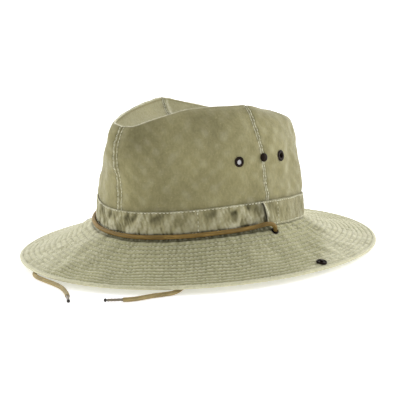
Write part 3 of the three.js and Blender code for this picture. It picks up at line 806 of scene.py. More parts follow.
def stitches(path, normals, pitch, length, radius, closed=False):
    """Points of a row of stitches along a path: short threads that dip into the cloth at both ends."""
    if closed:
        path, normals = np.vstack((path, path[:1])), np.vstack((normals, normals[:1]))
    travel = travelled(path)
    count = max(int(travel[-1] / pitch), 1)
    draw = np.random.default_rng(count)
    stray = draw.uniform(-STITCH_STRAY, STITCH_STRAY, count)
    middles = (np.arange(count) + 0.5 + stray) * travel[-1] / count
    offset, height, girth = STITCH_RINGS.T
    thick = radius * draw.uniform(*STITCH_THICK, count)[:, None]
    place = middles[:, None] + offset * length

    def at(values):
        return np.stack([np.interp(place, travel, column) for column in values.T], axis=-1)

    point, normal = at(path), unit(at(normals))
    along = unit(point[:, -1:] - point[:, :1])
    side = unit(np.cross(normal, along))
    turn = np.arange(STITCH_SIDES) * 2 * math.pi / STITCH_SIDES
    reach = (thick * girth)[:, :, None, None]
    around = np.cos(turn)[:, None] * side[:, :, None] + np.sin(turn)[:, None] * normal[:, :, None]
    return (point + normal * (thick * height)[:, :, None])[:, :, None] + around * reach


def add_stitches(name, rows, material, node_slot):
    """All the rows of stitches of one kind, joined in one mesh."""
    points = np.concatenate([row.reshape(-1, 3) for row in rows])
    each = len(STITCH_RINGS) * STITCH_SIDES
    one = grid_faces(len(STITCH_RINGS), STITCH_SIDES)
    one += [list(range(STITCH_SIDES))[::-1], list(range(each - STITCH_SIDES, each))]
    faces = [[start + i for i in face] for start in range(0, len(points), each) for face in one]
    return new_piece(name, points, faces, material, node_slot, sharp=80)


# ---- fittings ----

VENT_EYELET = {"hole": 0.0022, "barrel": 0.0027, "flange": 0.0051, "washer": 0.0042, "cloth": CROWN_CLOTH}
CORD_EYELET = {"hole": 0.0025, "barrel": 0.0029, "flange": 0.0036, "washer": 0.0036, "cloth": BRIM_CLOTH}
GAUZE_DEPTHS = {"front_eyelet": -0.0002, "rear_eyelet": 0.0018}
FITTING_SEAT = 0.0005
FITTING_THICK = 0.0009
STUD_RADIUS = 0.004
STUD_HEIGHT = 0.0026
STUD_POST = 0.0014
SOCKET_RADIUS = 0.005
SOCKET_RIM = 0.0036
SOCKET_RIM_HEIGHT = 0.0018
SOCKET_PIN = 0.0016
SOCKET_PIN_HEIGHT = 0.0028
SOCKET_WASHER = 0.003
NEAR_ANGLE = 2.0  # how far apart a seat's slopes are taken
NEAR_SHARE = 0.02


def seat_on(surface, angle, share):
    """World place and outward direction of a point on the wall or the brim."""
    around = surface(angle + NEAR_ANGLE, share) - surface(angle - NEAR_ANGLE, share)
    along = surface(angle, share + NEAR_SHARE) - surface(angle, share - NEAR_SHARE)
    axis = unit(np.cross(around, along))
    if surface is brim_top and axis[2] < 0:
        axis = -axis
    return to_world(surface(angle, share)), axis @ LEAN.T


def wall_seat(angle, height):
    foot = seam_height(angle)
    return seat_on(wall, angle, (height - foot) / (crest(angle)[2] - foot))


def brim_seat(angle, out):
    inner = np.linalg.norm(ellipse(angle, CROWN_HALF_WIDTH + GAP, CROWN_HALF_LENGTH + GAP))
    edge = np.linalg.norm(brim_edge(angle)[:2])
    return seat_on(brim_top, angle, (out - inner) / (edge - inner))


def eyelet_profile(hole, barrel, flange, washer, cloth):
    seat, thick = FITTING_SEAT, FITTING_THICK
    back = -cloth - seat
    return [
        *rounded(flange, hole, seat + 0.25 * thick, seat + thick),
        (hole, 0),
        (hole, back - 0.8 * thick),
        *reversed(rounded(washer, hole + 0.0003, back - 0.2 * thick, back - thick)),
        (washer, back),
        (barrel, back),
        (barrel, seat),
        (flange - 0.0002, seat),
    ]


def post_profile(back, radius, bevel):
    """The washer behind the cloth that a post stands on, and the post as far as its seat."""
    return [
        (0, back - FITTING_THICK),
        (radius - bevel, back - FITTING_THICK),
        (radius, back - FITTING_THICK / 2),
        (radius, back),
        (STUD_POST, back),
        (STUD_POST, FITTING_SEAT),
    ]


def stud_profile():
    seat, radius = FITTING_SEAT, STUD_RADIUS
    steps = np.radians(np.linspace(0, 90, 8))[1:-1]
    dome = [(radius * math.cos(t), seat + STUD_HEIGHT * (0.3 + 0.7 * math.sin(t))) for t in steps]
    return [
        *post_profile(-CROWN_CLOTH - seat, radius, 0.0004),
        (radius - 0.0003, seat),
        (radius, seat + 0.0003),
        *dome,
        (0, seat + STUD_HEIGHT),
    ]


def socket_profile():
    seat = FITTING_SEAT
    dish, pin = seat + FITTING_THICK, seat + SOCKET_PIN_HEIGHT
    return [
        *post_profile(-BRIM_CLOTH - GAP, SOCKET_WASHER, 0.0003),
        (SOCKET_RADIUS - 0.0002, seat),
        *rounded(SOCKET_RADIUS, SOCKET_RIM, seat + 0.0004, seat + SOCKET_RIM_HEIGHT),
        (SOCKET_RIM, dish),
        (SOCKET_PIN, dish),
        (SOCKET_PIN, pin - 0.0006),
        (SOCKET_PIN - 0.0004, pin - 0.0001),
        (0, pin),
    ]


# each fitting's angle on the left side, and its height on the crown or its distance out on the brim
CROWN_FITTINGS = (
    ("front_eyelet", -16, 0.0945),
    ("crown_stud", 0.5, 0.0953),
    ("rear_eyelet", 15.6, 0.0932),
)
CORD_HOLE = (0, 0.0925)
BRIM_SOCKET = (1, 0.1476)


def mirrored(side, angle):
    return np.array(angle if side == "left" else 180 - angle, float)


def add_fitting(name, profile, seat, post, holes):
    """A turned piece in place of its solid, and the hole that its post or barrel goes through."""
    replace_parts(turned(f"{name}_enamel", profile, *seat, METAL, "black_metal"), name)
    holes.append((*seat, post + GAP))


def add_fittings():
    """All the metal, and the holes to cut for it in the crown and the brim."""
    crown_holes, brim_holes = [], []
    for side in ("left", "right"):
        for name, angle, height in CROWN_FITTINGS:
            seat = wall_seat(mirrored(side, angle), height)
            if name in GAUZE_DEPTHS:
                profile = eyelet_profile(**VENT_EYELET)
                add_fitting(f"{name}_{side}", profile, seat, VENT_EYELET["barrel"], crown_holes)
                high = -GAUZE_DEPTHS[name]
                low = high - GAP
                disc = [(0, low), (VENT_EYELET["hole"], low), (VENT_EYELET["hole"], high), (0, high)]
                turned(f"{name}_{side}_gauze", disc, *seat, SCREEN, "black_metal")
            else:
                add_fitting(f"{name}_{side}", stud_profile(), seat, STUD_POST, crown_holes)
        angle, out = CORD_HOLE
        seat = brim_seat(mirrored(side, angle), out)
        profile = eyelet_profile(**CORD_EYELET)
        add_fitting(f"cord_eyelet_{side}", profile, seat, CORD_EYELET["barrel"], brim_holes)
        angle, out = BRIM_SOCKET
        seat = brim_seat(mirrored(side, angle), out)
        add_fitting(f"brim_socket_{side}", socket_profile(), seat, STUD_POST, brim_holes)
    return crown_holes, brim_holes


DRILL_DEPTH = 0.014
DRILL_SIDES = 32


def cut_holes(piece, holes):
    """Round holes through a closed piece of cloth."""
    deep = DRILL_DEPTH / 2
    tools = []
    for place, axis, radius in holes:
        profile = [(0, -deep), (radius, -deep), (radius, deep), (0, deep)]
        tools.append(turned("drill", profile, place, axis, METAL, "black_metal", DRILL_SIDES))
    for tool in tools:
        cut = piece.modifiers.new("cut", "BOOLEAN")
        cut.operation, cut.solver, cut.object = "DIFFERENCE", "MANIFOLD", tool
    graph = bpy.context.evaluated_depsgraph_get()
    mesh = bpy.data.meshes.new_from_object(piece.evaluated_get(graph), depsgraph=graph)
    piece.modifiers.clear()
    piece.data = mesh
    for tool in tools:
        bpy.data.objects.remove(tool)


# ---- the cord's tips ----

TIP_SLEEVE_RADIUS = 0.0013
TIP_SLEEVE_LENGTH = 0.014
TIP_BEAD_RADIUS = 0.0016
TIP_BEAD_LENGTH = 0.003
TIP_SIDES = 20
TIP_RIBS = 9


def add_tip(side, route):
    """The ribbed sleeve and the sealed bead on an end of the cord."""
    path = spline(route)
    axis = unit(path[-1] - path[-3])
    end = TIP_SLEEVE_LENGTH + TIP_BEAD_LENGTH
    ribs = np.linspace(0.0012, TIP_SLEEVE_LENGTH - 0.001, TIP_RIBS)
    tube = [(TIP_SLEEVE_RADIUS * (1 - 0.1 * (i % 2)), float(height)) for i, height in enumerate(ribs)]
    mouth = [(0, GAP), (TIP_SLEEVE_RADIUS + 0.0003, GAP)]
    profile = [*mouth, *tube, (0.001, TIP_SLEEVE_LENGTH), (0, TIP_SLEEVE_LENGTH)]
    cover = turned(f"tip_sleeve_{side}", profile, path[-1], axis, SLEEVE, "cord_tip", TIP_SIDES)
    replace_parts(cover, f"cord_tip_{side}")
    turn = np.linspace(-math.pi / 2, math.pi / 2, 9)[1:-1]
    middle, half = end - TIP_BEAD_LENGTH / 2, TIP_BEAD_LENGTH / 2
    ball = [(TIP_BEAD_RADIUS * math.cos(t), middle + half * math.sin(t)) for t in turn]
    profile = [(0, middle - half), *ball, (0, end)]
    bead = turned(f"tip_bead_{side}", profile, path[-1], axis, BEAD, "cord_tip", TIP_SIDES)
    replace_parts(bead, f"cord_tip_{side}")
    return cover, bead


def add_cords():
    add_cord("cord_round_band", "chin_cord_front", FRONT_ROUTE, FRONT_WAX, 0.3221, "left")
    for side, route, length in (("left", LEFT_ROUTE, 0.2008), ("right", RIGHT_ROUTE, 0.2799)):
        tips = add_tip(side, route)
        add_cord(f"cord_tail_{side}", f"chin_cord_{side}", route, TAIL_WAX, length, side)


# ---- crown ----

SEAMS = {-90: 0.0026, 0: 0.0015, 90: 0.0015, 180: 0.0015}  # each seam's distance to its stitch rows
PALE_SIDES = {-90: -1, 0: 0, 90: 0, 180: 0}  # which side of each seam has worn pale, 0 for both
# the back seam, which has painted shade beside it in the dent and paler cloth a little further off
SHADED_SEAM = 180
# where the crown's wall has painted shade: angle and how wide, height and how tall, how dark
HOLLOW_SHADES = (
    (-74, 13, 0.116, 0.018, 0.33),
    (-68, 16, 0.066, 0.018, 0.1),
    (-28, 22, 0.128, 0.014, 0.15),
)
BESIDE_SEAM = np.array((0, 0.35, 0.7, 1.05, 1.4, 1.8, 2.2, 2.6, 3.1, 3.7, 4.5, 5.6)) / 1000  # columns
BETWEEN_SEAMS = 82  # columns in the stretch between those of two seams


def crown_columns():
    """Angles of the crown's columns, close together beside the seams."""
    angles = []
    for seam in SEAMS:
        radius, next_radius = CROWN_HALF_LENGTH, CROWN_HALF_WIDTH
        if abs(seam) == 90:
            radius, next_radius = next_radius, radius
        beside = np.degrees(BESIDE_SEAM / radius)
        before_next = np.degrees(BESIDE_SEAM[::-1] / next_radius)[:-1]
        between = np.linspace(beside[-1], 90 - before_next[0], BETWEEN_SEAMS + 2)[1:-1]
        angles.extend(seam + np.concatenate((beside, between, 90 - before_next)))
    return np.array(angles)


def seam_column(angles, seam):
    return int(np.argmin(np.abs(wrapped(angles - seam))))


DENT_SHARES = np.concatenate(
    (np.linspace(0.05, 0.8, 18), np.linspace(0.825, 0.95, 8), np.linspace(0.958, 0.996, 8))
)
WALL_RISES = np.concatenate((np.linspace(1, 0.97, 9), np.linspace(0.96, 0, 84)))
HEM_STEPS = np.linspace(0, HEM_DROP, 4)[1:]
INNER_DENT = np.array((0.12, 0.24, 0.36, 0.47, 0.57, 0.67, 0.75, 0.82, 0.87, 0.91, 0.94, 0.965))
INNER_WALL = np.concatenate(((1, 0.965, 0.94), np.linspace(0.91, 0, 22)))


def crown_rows(angles, shares, rises, hems):
    """A grid of points over the dent, the wall and the hem below it."""
    angle, share = np.meshgrid(angles, shares)
    rows = [dent(angle, share)]
    angle, rise = np.meshgrid(angles, rises)
    rows.append(wall(angle, rise))
    angle, drop = np.meshgrid(angles, hems)
    hem = wall(angle, 0 * angle)
    hem[..., 2] -= drop
    return np.concatenate((*rows, hem))


def travel_along(points, axis):
    """Distance travelled over a grid of points, along one of its directions."""
    step = np.linalg.norm(np.diff(points, axis=axis), axis=-1)
    pad = ((1, 0), (0, 0)) if axis == 0 else ((0, 0), (1, 0))
    return np.pad(np.cumsum(step, axis=axis), pad)


def crown_inside(angles):
    """The inside of the cloth, mitred where the crest folds."""
    points = crown_rows(angles, INNER_DENT, INNER_WALL, HEM_STEPS[-1:])
    around = np.roll(points, -1, 1) - np.roll(points, 1, 1)
    down = np.diff(points, axis=0)
    after = unit(np.cross(down, around[:-1]))
    after = np.concatenate((after, after[-1:]))
    before = np.concatenate((after[:1], unit(np.cross(down, around[1:]))))
    mitre = (before + after) / (1 + (before * after).sum(-1, keepdims=True))
    size = np.linalg.norm(mitre, axis=-1, keepdims=True)
    return points - mitre * CROWN_CLOTH * np.minimum(1, CREST_MITRE / np.maximum(size, 1e-9))


CREST_ROUNDS = 9  # passes that round the fold off
CREST_REACH = 7  # rows to each side of the fold that they round
CREST_CLEAR = 4  # rows inside the fold that aren't pale as the rest of the dent is

# heights and widths of the forms in the crown's cloth
SEAM_PUFF = 0.00032
SEAM_GROOVE = 0.0006
SEAM_PUCKER = 0.00028
STITCH_GROOVE = 0.00025
GROOVE_WIDE = 0.00045
PUCKER_PITCH = 0.0072
CREST_RIDGE = 0.0004
CREST_WIDE = 0.0011
RUMPLE = 0.0008
FINE_RUMPLE = 0.0003
DENT_CALM = 0.045  # distance from the dent's middle over which its rumples come up
BAND_COVER = (0.0225, 0.028)  # heights over the sewn line between which the band's cover ends


def seam_relief(seam, across, down, height, in_dent):
    """A seam's groove, puff and puckers, its wear, and painted shade in its groove and hollows."""
    beside = np.abs(across)
    from_row = beside - SEAMS[seam]
    beat = 2 * math.pi * down / PUCKER_PITCH + 1.4 * waves(0 * across, height, 200 + seam, 1, 30)
    pucker = np.sin(beat + np.sign(across) * 0.8)
    groove = bump(across / GROOVE_WIDE)
    relief = SEAM_PUFF * (1 - smooth_step(from_row, 0, 0.0014)) - SEAM_GROOVE * groove
    relief -= STITCH_GROOVE * bump(from_row / GROOVE_WIDE)
    relief += SEAM_PUCKER * pucker * bump(beside / (SEAMS[seam] + 0.0032))
    pale_side = np.where(across * PALE_SIDES[seam] >= 0, 1, 0.3)
    wear_and_painted_light = 0.5 * pale_side * bump((beside - SEAMS[seam] * 0.6) / 0.0007) * (0.7 + 0.3 * pucker)
    # painted shade in the seam's groove, beside its stitch rows and in its pucker hollows
    painted_shade = 0.4 * groove + 0.18 * bump((from_row - 0.001) / 0.0007) + 0.2 * bump(from_row / 0.0005)
    painted_shade += 0.3 * np.clip(-pucker, 0, 1) * bump(from_row / 0.002)
    if seam == SHADED_SEAM:
        painted_shade += 0.55 * in_dent * bump((across - 0.0004) / 0.0024)
        wear_and_painted_light += 0.4 * in_dent * bump((across + 0.0048) / 0.0016)
    return np.array((relief, wear_and_painted_light, painted_shade))


def crest_relief(angle, height, from_crest):
    """The ridge along the crest, pale with wear, and painted shade in the fold behind it and on the wall
    below it.
    """
    ridge = bump(from_crest / CREST_WIDE)
    left = 0.3 + 0.7 * smooth_step(np.cos(np.radians(angle + 25)), -0.35, 0.2)
    relief = CREST_RIDGE * ridge * (1 + 0.2 * waves(angle, height, 3, 70, 5))
    wear_and_painted_light = 1.9 * left * ridge * (1 + 0.15 * waves(angle, height, 4, 50, 5))
    # painted shade below the crest on the wall, and in the fold behind it inside the dent
    below = bump((from_crest - 0.010) / 0.009) * np.clip(0.6 + 0.6 * waves(angle, height, 5, 9, 8), 0, 1)
    painted_shade = 0.1 * bump((from_crest - 0.0028) / 0.0011) + 0.16 * below
    painted_shade += 0.36 * left * bump((from_crest + 0.0027) / 0.0013)
    return np.array((relief, wear_and_painted_light, painted_shade))


def crown_relief(points, angles, crest_row):
    """Height of seams, puckers and creases over the smooth crown, its wear and painted light, and its
    painted shade.
    """
    round_travel = travel_along(np.concatenate((points, points[:, :1]), 1), 1)
    down_travel = travel_along(points, 0)
    total = round_travel[:, -1:]
    angle = np.broadcast_to(angles, points.shape[:2])
    height = points[..., 2]
    from_crest = down_travel - down_travel[crest_row]
    row = np.arange(len(points))[:, None]
    in_dent = row < crest_row
    forms = crest_relief(angle, height, from_crest)
    for seam in SEAMS:
        column = seam_column(angles, seam)
        across = round_travel[:, :-1] - round_travel[:, column : column + 1]
        across = np.mod(across + total / 2, total) - total / 2
        forms = forms + seam_relief(seam, across, down_travel, height, in_dent)
    relief, wear_and_painted_light, painted_shade = forms
    spread = np.clip(np.hypot(points[..., 0], points[..., 1] - DENT_FORE) / DENT_CALM, 0, 1)
    spread = spread * (1 - 0.65 * bump(from_crest / 0.012))
    spread = np.where(in_dent, 0.35 * spread**3, spread)
    relief += spread * RUMPLE * waves(angle, height, 21, 6, 12)
    relief += spread * FINE_RUMPLE * waves(angle, height, 22, 21, 38)
    # painted shade in the wall's hollows
    for place, wide, middle, tall, dark in HOLLOW_SHADES:
        painted_shade += dark * bump_at(angle, place, wide) * bump((height - middle) / tall)
    rumple = spread * waves(angle, height, 23, 30, 60)
    # the dent paler, and a painted highlight on the rumples' crests
    wear_and_painted_light += 0.2 * (row < crest_row - CREST_CLEAR) + 0.06 * np.clip(rumple, 0, 2)
    above_band = smooth_step(height - seam_height(angle), *BAND_COVER)
    relief *= np.where(row > crest_row, above_band, 1)
    # painted shade in the rumples' hollows, and a painted shadow of the band's top edge on the crown
    painted_shade += 0.05 * np.clip(-rumple, 0, 2) + 0.25 * (1 - above_band)
    return relief, np.clip(wear_and_painted_light, 0, 1), np.clip(painted_shade, 0, 1)


def add_crown(holes):
    """The crown's cloth, outside and inside, with its holes cut, and its stitches."""
    angles = crown_columns()
    points = crown_rows(angles, DENT_SHARES, WALL_RISES, HEM_STEPS)
    crest_row = len(DENT_SHARES)
    first, last = crest_row - CREST_REACH, crest_row + CREST_REACH
    for _ in range(CREST_ROUNDS):
        mean = (points[:-2] + points[2:]) / 4 + points[1:-1] / 2
        points[first : last + 1] = mean[first - 1 : last]
    relief, wear_and_painted_light, painted_shade = crown_relief(points, angles, crest_row)
    outer = to_world(points + grid_normals(points) * relief[..., None])
    inner = to_world(crown_inside(angles))[::-1]
    middle = to_world(np.array([(0, DENT_FORE, DENT_HEIGHT - deep) for deep in (0, CROWN_CLOTH)]))
    grid = np.concatenate((outer, inner))
    columns = len(angles)
    faces = grid_faces(len(grid), columns)
    centre, inmost = len(grid) * columns, (len(grid) - 1) * columns
    for i in range(columns):
        beside = (i + 1) % columns
        faces.append([centre, beside, i])
        faces.append([centre + 1, inmost + i, inmost + beside])
    vertices = np.concatenate((grid.reshape(-1, 3), middle))
    unseen = np.zeros(len(vertices) - wear_and_painted_light.size)
    values = {"wear_and_painted_light": np.append(wear_and_painted_light, unseen), "painted_shade": np.append(painted_shade, unseen)}
    piece = tidy(new_piece("crown_cotton", vertices, faces, CROWN_COTTON, "crown_cloth", 60, values))
    cut_holes(piece, holes)
    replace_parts(piece, "crown")
    add_crown_stitches(outer, angles, crest_row)


SEAM_STITCH = {"pitch": 0.0031, "length": 0.0024, "radius": 0.0003}
STRIP_COLUMNS = 14  # to each side of a seam, where its rows of stitches are looked for
FIRST_STITCH_ROW = 6  # of the crown's rows of points, counted from the middle of the dent


def at_offset(grid, travel, offset):
    """Where each row of a grid is at one distance travelled along it."""
    return np.array([[np.interp(offset, t, row[:, k]) for k in range(3)] for t, row in zip(travel, grid)])


def add_crown_stitches(outer, angles, crest_row):
    """Two rows of stitches down each seam, over the crest and into the dent, as far as the band."""
    normals = grid_normals(outer)
    rows = []
    for seam, stitch_row in SEAMS.items():
        column = seam_column(angles, seam)
        picked = np.arange(column - STRIP_COLUMNS, column + STRIP_COLUMNS + 1) % len(angles)
        strip, strip_normals = outer[:, picked], normals[:, picked]
        travel = travel_along(strip, 1)
        travel = travel - travel[:, STRIP_COLUMNS, None]
        above_band = strip[crest_row:, STRIP_COLUMNS, 2] - seam_height(seam) - BAND_COVER[0]
        shown = slice(FIRST_STITCH_ROW, crest_row + int(np.argmin(np.abs(above_band))))
        for offset in (-stitch_row, stitch_row):
            path = at_offset(strip[shown], travel[shown], offset)
            facing = unit(at_offset(strip_normals[shown], travel[shown], offset))
            rows.append(stitches(path, facing, **SEAM_STITCH))
    add_stitches("crown_stitches", rows, THREAD, "crown_cloth")


# ---- band ----

BAND_COLUMNS = 640
BAND_SHARES = np.linspace(0.02, 0.98, 25)
BAND_SECTION = (
    [(share, 1.0) for share in BAND_SHARES]
    + [(0.994, 0.9), (1.0, 0.7), (1.0, 0.3), (0.994, 0.1)]
    + [(share, 0.0) for share in BAND_SHARES[::-2]]
    + [(0.006, 0.1), (0.0, 0.3), (0.0, 0.7), (0.006, 0.9)]
)  # share of the height, and depth from inside (0) to outside (1)
BAND_TOP_STITCH = 0.955  # share of the height
BAND_FOOT_STITCH = 0.07
BAND_STITCH = {"pitch": 0.0034, "length": 0.0027, "radius": 0.0003}
BAND_END_SLANT = 3.2  # degrees from the free end's top to its foot
BAND_SLANT_REACH = 14
FLAP_STITCH_ANGLE = 5.5
BAND_JOIN_ANGLE = -42
BAND_COVERED = 16  # degrees at the hidden end that have no stitches, because the lap covers them
BAND_FIRST_TURN = 60  # degrees from the hidden end, where the turn below the free end is

# heights of the forms in the band's cloth
BAND_FINE = 0.0003
BAND_FINEST = 0.0002
BAND_BROAD = 0.0006
CHANNEL_DEEP = 0.00024
CHANNEL_WIDE = 0.022  # share of the height
BAND_SEAM_DEEP = 0.00022
CORD_HALF_SHOWN = 0.0015  # height over the cord's middle up to which the band has the cord's painted shadow


def band_place(travel, share, depth):
    """A point of the strip that is laid on from its hidden end forwards, and over itself."""
    short = BAND_END_SLANT * (1 - np.asarray(share)) ** 0.8
    travel = travel - short * smooth_step(travel, BAND_TURN - BAND_SLANT_REACH, BAND_TURN)
    angle = BAND_HIDDEN_END - travel
    top = 360 - BAND_CREST
    climb = smooth_step(travel, top - BAND_RAMP, top)
    to_end = np.maximum(1 - (BAND_TURN - travel) / BAND_FLARE_ANGLE, 0)
    rise = share * BAND_HEIGHT / (crest(angle)[..., 2] - seam_height(angle))
    flare = BAND_FLARE * to_end**2 * np.sin(math.pi * share)
    point = wall(angle, rise)
    out = BAND_GAP + climb * (BAND_CLOTH + BAND_LAP) + flare + BAND_CLOTH * depth
    point = point + outward(angle) * out[..., None]
    point[..., 2] = seam_height(angle) + GAP + share * BAND_HEIGHT
    return point


def cord_height(angle):
    """Height of the middle of the cord that lies round the front of the band, and 0 behind it."""
    route = (np.array(FRONT_ROUTE) - np.array((0, STAND_BACK, -STAND_DROP))) @ LEAN
    place = np.degrees(np.arctan2(route[:, 1] / CROWN_HALF_LENGTH, route[:, 0] / CROWN_HALF_WIDTH))
    lying = slice(6, -6)  # the points before and after these climb out of the holes
    turn = np.mod(place[lying] + 270, 360)
    order = np.argsort(turn)
    return np.interp(np.mod(angle + 270, 360), turn[order], route[lying, 2][order], left=0, right=0)


def band_relief(travel, share):
    """Puckers and stitched channels in the band's outside, its wear and painted highlights, and its painted
    shade.
    """
    angle = BAND_HIDDEN_END - travel
    height = share * BAND_HEIGHT
    low = 1 - share
    front = np.clip(bump_at(angle, -92, 36) + 0.9 * bump_at(angle, -20, 16), 0, 1)
    fine = waves(angle, height, 31, 62, 52)
    finest = waves(angle, height, 32, 125, 110)
    broad = waves(angle, height, 33, 26, 40)
    inside = arch(share) ** 0.5
    relief = BAND_FINE * fine * (0.4 + 0.7 * low) + BAND_FINEST * finest + BAND_BROAD * broad
    channels = sum(bump((share - row) / CHANNEL_WIDE) for row in (BAND_TOP_STITCH, BAND_FOOT_STITCH))
    seams = bump_at(angle, FLAP_STITCH_ANGLE, 0.35) + bump_at(angle, BAND_JOIN_ANGLE, 0.3)
    relief = inside * (0.6 + 0.7 * front) * relief - CHANNEL_DEEP * channels - BAND_SEAM_DEEP * seams
    tall = np.clip(fine * 0.25 + broad * 0.5 + finest * 0.25, -1.2, 1.2)
    pale_foot = smooth_step(low, 0.3, 0.75) * (1 - smooth_step(low, 0.9, 1.0))
    # painted highlight on the raised puckers and on the foot, strongest at the front
    wear_and_painted_light = 0.46 * np.clip(tall + 0.6 * pale_foot, 0, 1) * (0.35 + 0.75 * front)
    wear_and_painted_light = wear_and_painted_light + 0.25 * bump((share - 1) / 0.03) + 0.3 * bump((share - 0.03) / 0.03)
    wear_and_painted_light = wear_and_painted_light + 0.9 * bump((BAND_TURN - travel) / 0.5)
    blotches = front * bump((share - 0.76) / 0.17) * np.clip(0.2 - 0.8 * broad - 0.3 * fine, 0, 1)
    # painted shade in the hollows, most near the top, in the channels and seams, and a little all round
    # behind the front
    painted_shade = 0.5 * np.clip(-tall - 0.3 * pale_foot, 0, 1) * (0.35 + 0.65 * front)
    painted_shade = painted_shade + 0.7 * blotches + 0.1 * (1 - front) + 0.25 * channels + 0.4 * seams
    # painted shadow of the cord on the band's foot
    over_cord = height + seam_height(angle) - cord_height(angle) - CORD_HALF_SHOWN
    painted_shade = painted_shade + 0.95 * (1 - smooth_step(over_cord, 0.0004, 0.0016))
    # painted shadow ahead of the free end, on the turn below it
    under_end = BAND_FREE_END + BAND_END_SLANT * low**0.8 - angle
    covered = smooth_step(under_end, -3, -1) * (1 - smooth_step(under_end, 0.7, 1.7))
    beside_end = bump((under_end - 2.6) / 2.4) * smooth_step(share, 0.15, 0.8)
    painted_shade = painted_shade + (0.95 * covered + 0.55 * beside_end) * (travel < BAND_FIRST_TURN)
    return relief, np.clip(wear_and_painted_light, 0, 1), np.clip(painted_shade, 0, 1)


def add_band():
    """The band's strip, from its hidden end over its full turn to its free end, and its stitches."""
    travel = np.linspace(0, BAND_TURN, BAND_COLUMNS)
    section = np.array(BAND_SECTION)
    share = np.broadcast_to(section[:, :1], (len(section), BAND_COLUMNS))
    depth = np.broadcast_to(section[:, 1:], share.shape)
    points = band_place(travel[None, :] + 0 * share, share, depth)
    relief, wear_and_painted_light, painted_shade = band_relief(travel[None, :], share)
    points = points + outward(BAND_HIDDEN_END - travel)[None] * (relief * (depth > 0.5))[..., None]
    faces = grid_faces(len(section), BAND_COLUMNS, ring=False, loop=True)
    ends = np.arange(len(section)) * BAND_COLUMNS
    faces += [ends.tolist(), (ends + BAND_COLUMNS - 1)[::-1].tolist()]
    values = {"wear_and_painted_light": wear_and_painted_light.ravel(), "painted_shade": painted_shade.ravel()}
    piece = new_piece("band_cotton", to_world(points), faces, BAND_COTTON, "band_cloth", 60, values)
    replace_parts(tidy(piece), "hat_band")
    add_band_stitches()


def band_row(travel, share):
    """A row of stitches on the band."""
    facing = outward(BAND_HIDDEN_END - travel)
    path = band_place(travel, share, np.ones(travel.shape))
    path = path + facing * band_relief(travel, share)[0][:, None]
    return stitches(to_world(path), facing @ LEAN.T, **BAND_STITCH)


def add_band_stitches():
    """Two rows of stitches round the band, and one across it at its free end and at its join."""
    travel = np.linspace(1, BAND_TURN - 0.4, 900)
    travel = travel[travel > BAND_COVERED]
    rows = [band_row(travel, np.full(travel.shape, share)) for share in (BAND_TOP_STITCH, BAND_FOOT_STITCH)]
    share = np.linspace(BAND_FOOT_STITCH, BAND_TOP_STITCH, 40)
    for angle in (FLAP_STITCH_ANGLE - 360, BAND_JOIN_ANGLE):
        rows.append(band_row(np.full(share.shape, BAND_HIDDEN_END - angle), share))
    add_stitches("band_stitches", rows, THREAD, "band_cloth")


# ---- brim ----

BRIM_COLUMNS = 540
BRIM_RINGS = 14
EDGE_SHARE = 0.045  # of the width, for the rolled edge
RING_STEP = (1 - EDGE_SHARE) / BRIM_RINGS
RING_ROWS = np.array((0, 0.09, 0.2, 0.36, 0.52, 0.68, 0.82, 0.92))  # places of points across a ring
UNDER_ROWS = np.array((0, 0.15, 0.5, 0.85))
BRIM_WIDE = 0.0697  # from the crown to the edge, much the same all round
BRIM_STITCH = {"pitch": 0.0037, "length": 0.0028, "radius": 0.00028}
CORD_SHADOW_REACH = (0.0046, 0.006)  # how far out from the crown the cord's painted shadow reaches on the brim
UNDER_STRENGTH = 0.8  # of the underside's rings and puckers
EDGE_SHARES = (1 - EDGE_SHARE, 0.963, 0.972)  # rows of points on the rolled edge's upper side
EDGE_WORN = 0.55

# heights and widths of the forms in the brim's cloth
RING_GROOVE = 0.0007
RING_GROOVE_WIDE = 0.0006
RING_PILLOW = 0.0003
RING_PILLOW_WIDE = 0.0015
RING_PUCKER = 0.00042
BRIM_BROAD = 0.0004
BRIM_FINE_FOLD = 0.0004
BRIM_FOLD = 0.0014
# each fold's angle at the crown, its turn on the way out, its hollow's side, half width and height
BRIM_FOLDS = (
    (-90, -9, 1, 6.0, 1.2),
    (38, -17, -1, 5.5, 1.1),
    (-70, -14, 1, 5.0, 0.35),
    (-12, -8, 1, 5.0, 0.3),
    (150, -12, 1, 6.0, 0.8),
    (85, 9, 1, 6.0, 0.5),
)
# the brim has painted light on one side of these lines: each one's angle at the crown, its turn on the
# way out, the lit side, and where the painted light starts and is full
BRIM_LIT_LINES = (
    (-97, 0, -1, -2, 12),
    (46, -58, 1, -4, 10),
)
LIT_END = (70, 120)


def brim_folds(angle, share):
    """Soft folds that run slantwise over the brim: each one's crest, and the slope beside it."""
    crests, slopes = 0, 0
    for root, turn, side, wide, height in BRIM_FOLDS:
        off = wrapped(angle - root - turn * share) * side / wide
        along = arch(share, 0.8)
        crests = crests + height * bump(off) * along
        slopes = slopes + height * bump(off - 1.3) * along
    return crests, slopes


# painted light on the brim, on one side of each of the lines above
def brim_lit_sides(angle, share):
    lit_share = 0
    for root, turn, side, start, full in BRIM_LIT_LINES:
        beyond = wrapped(angle - root - turn * share) * side
        lit_share = lit_share + smooth_step(beyond, start, full) * (1 - smooth_step(beyond, *LIT_END))
    return lit_share


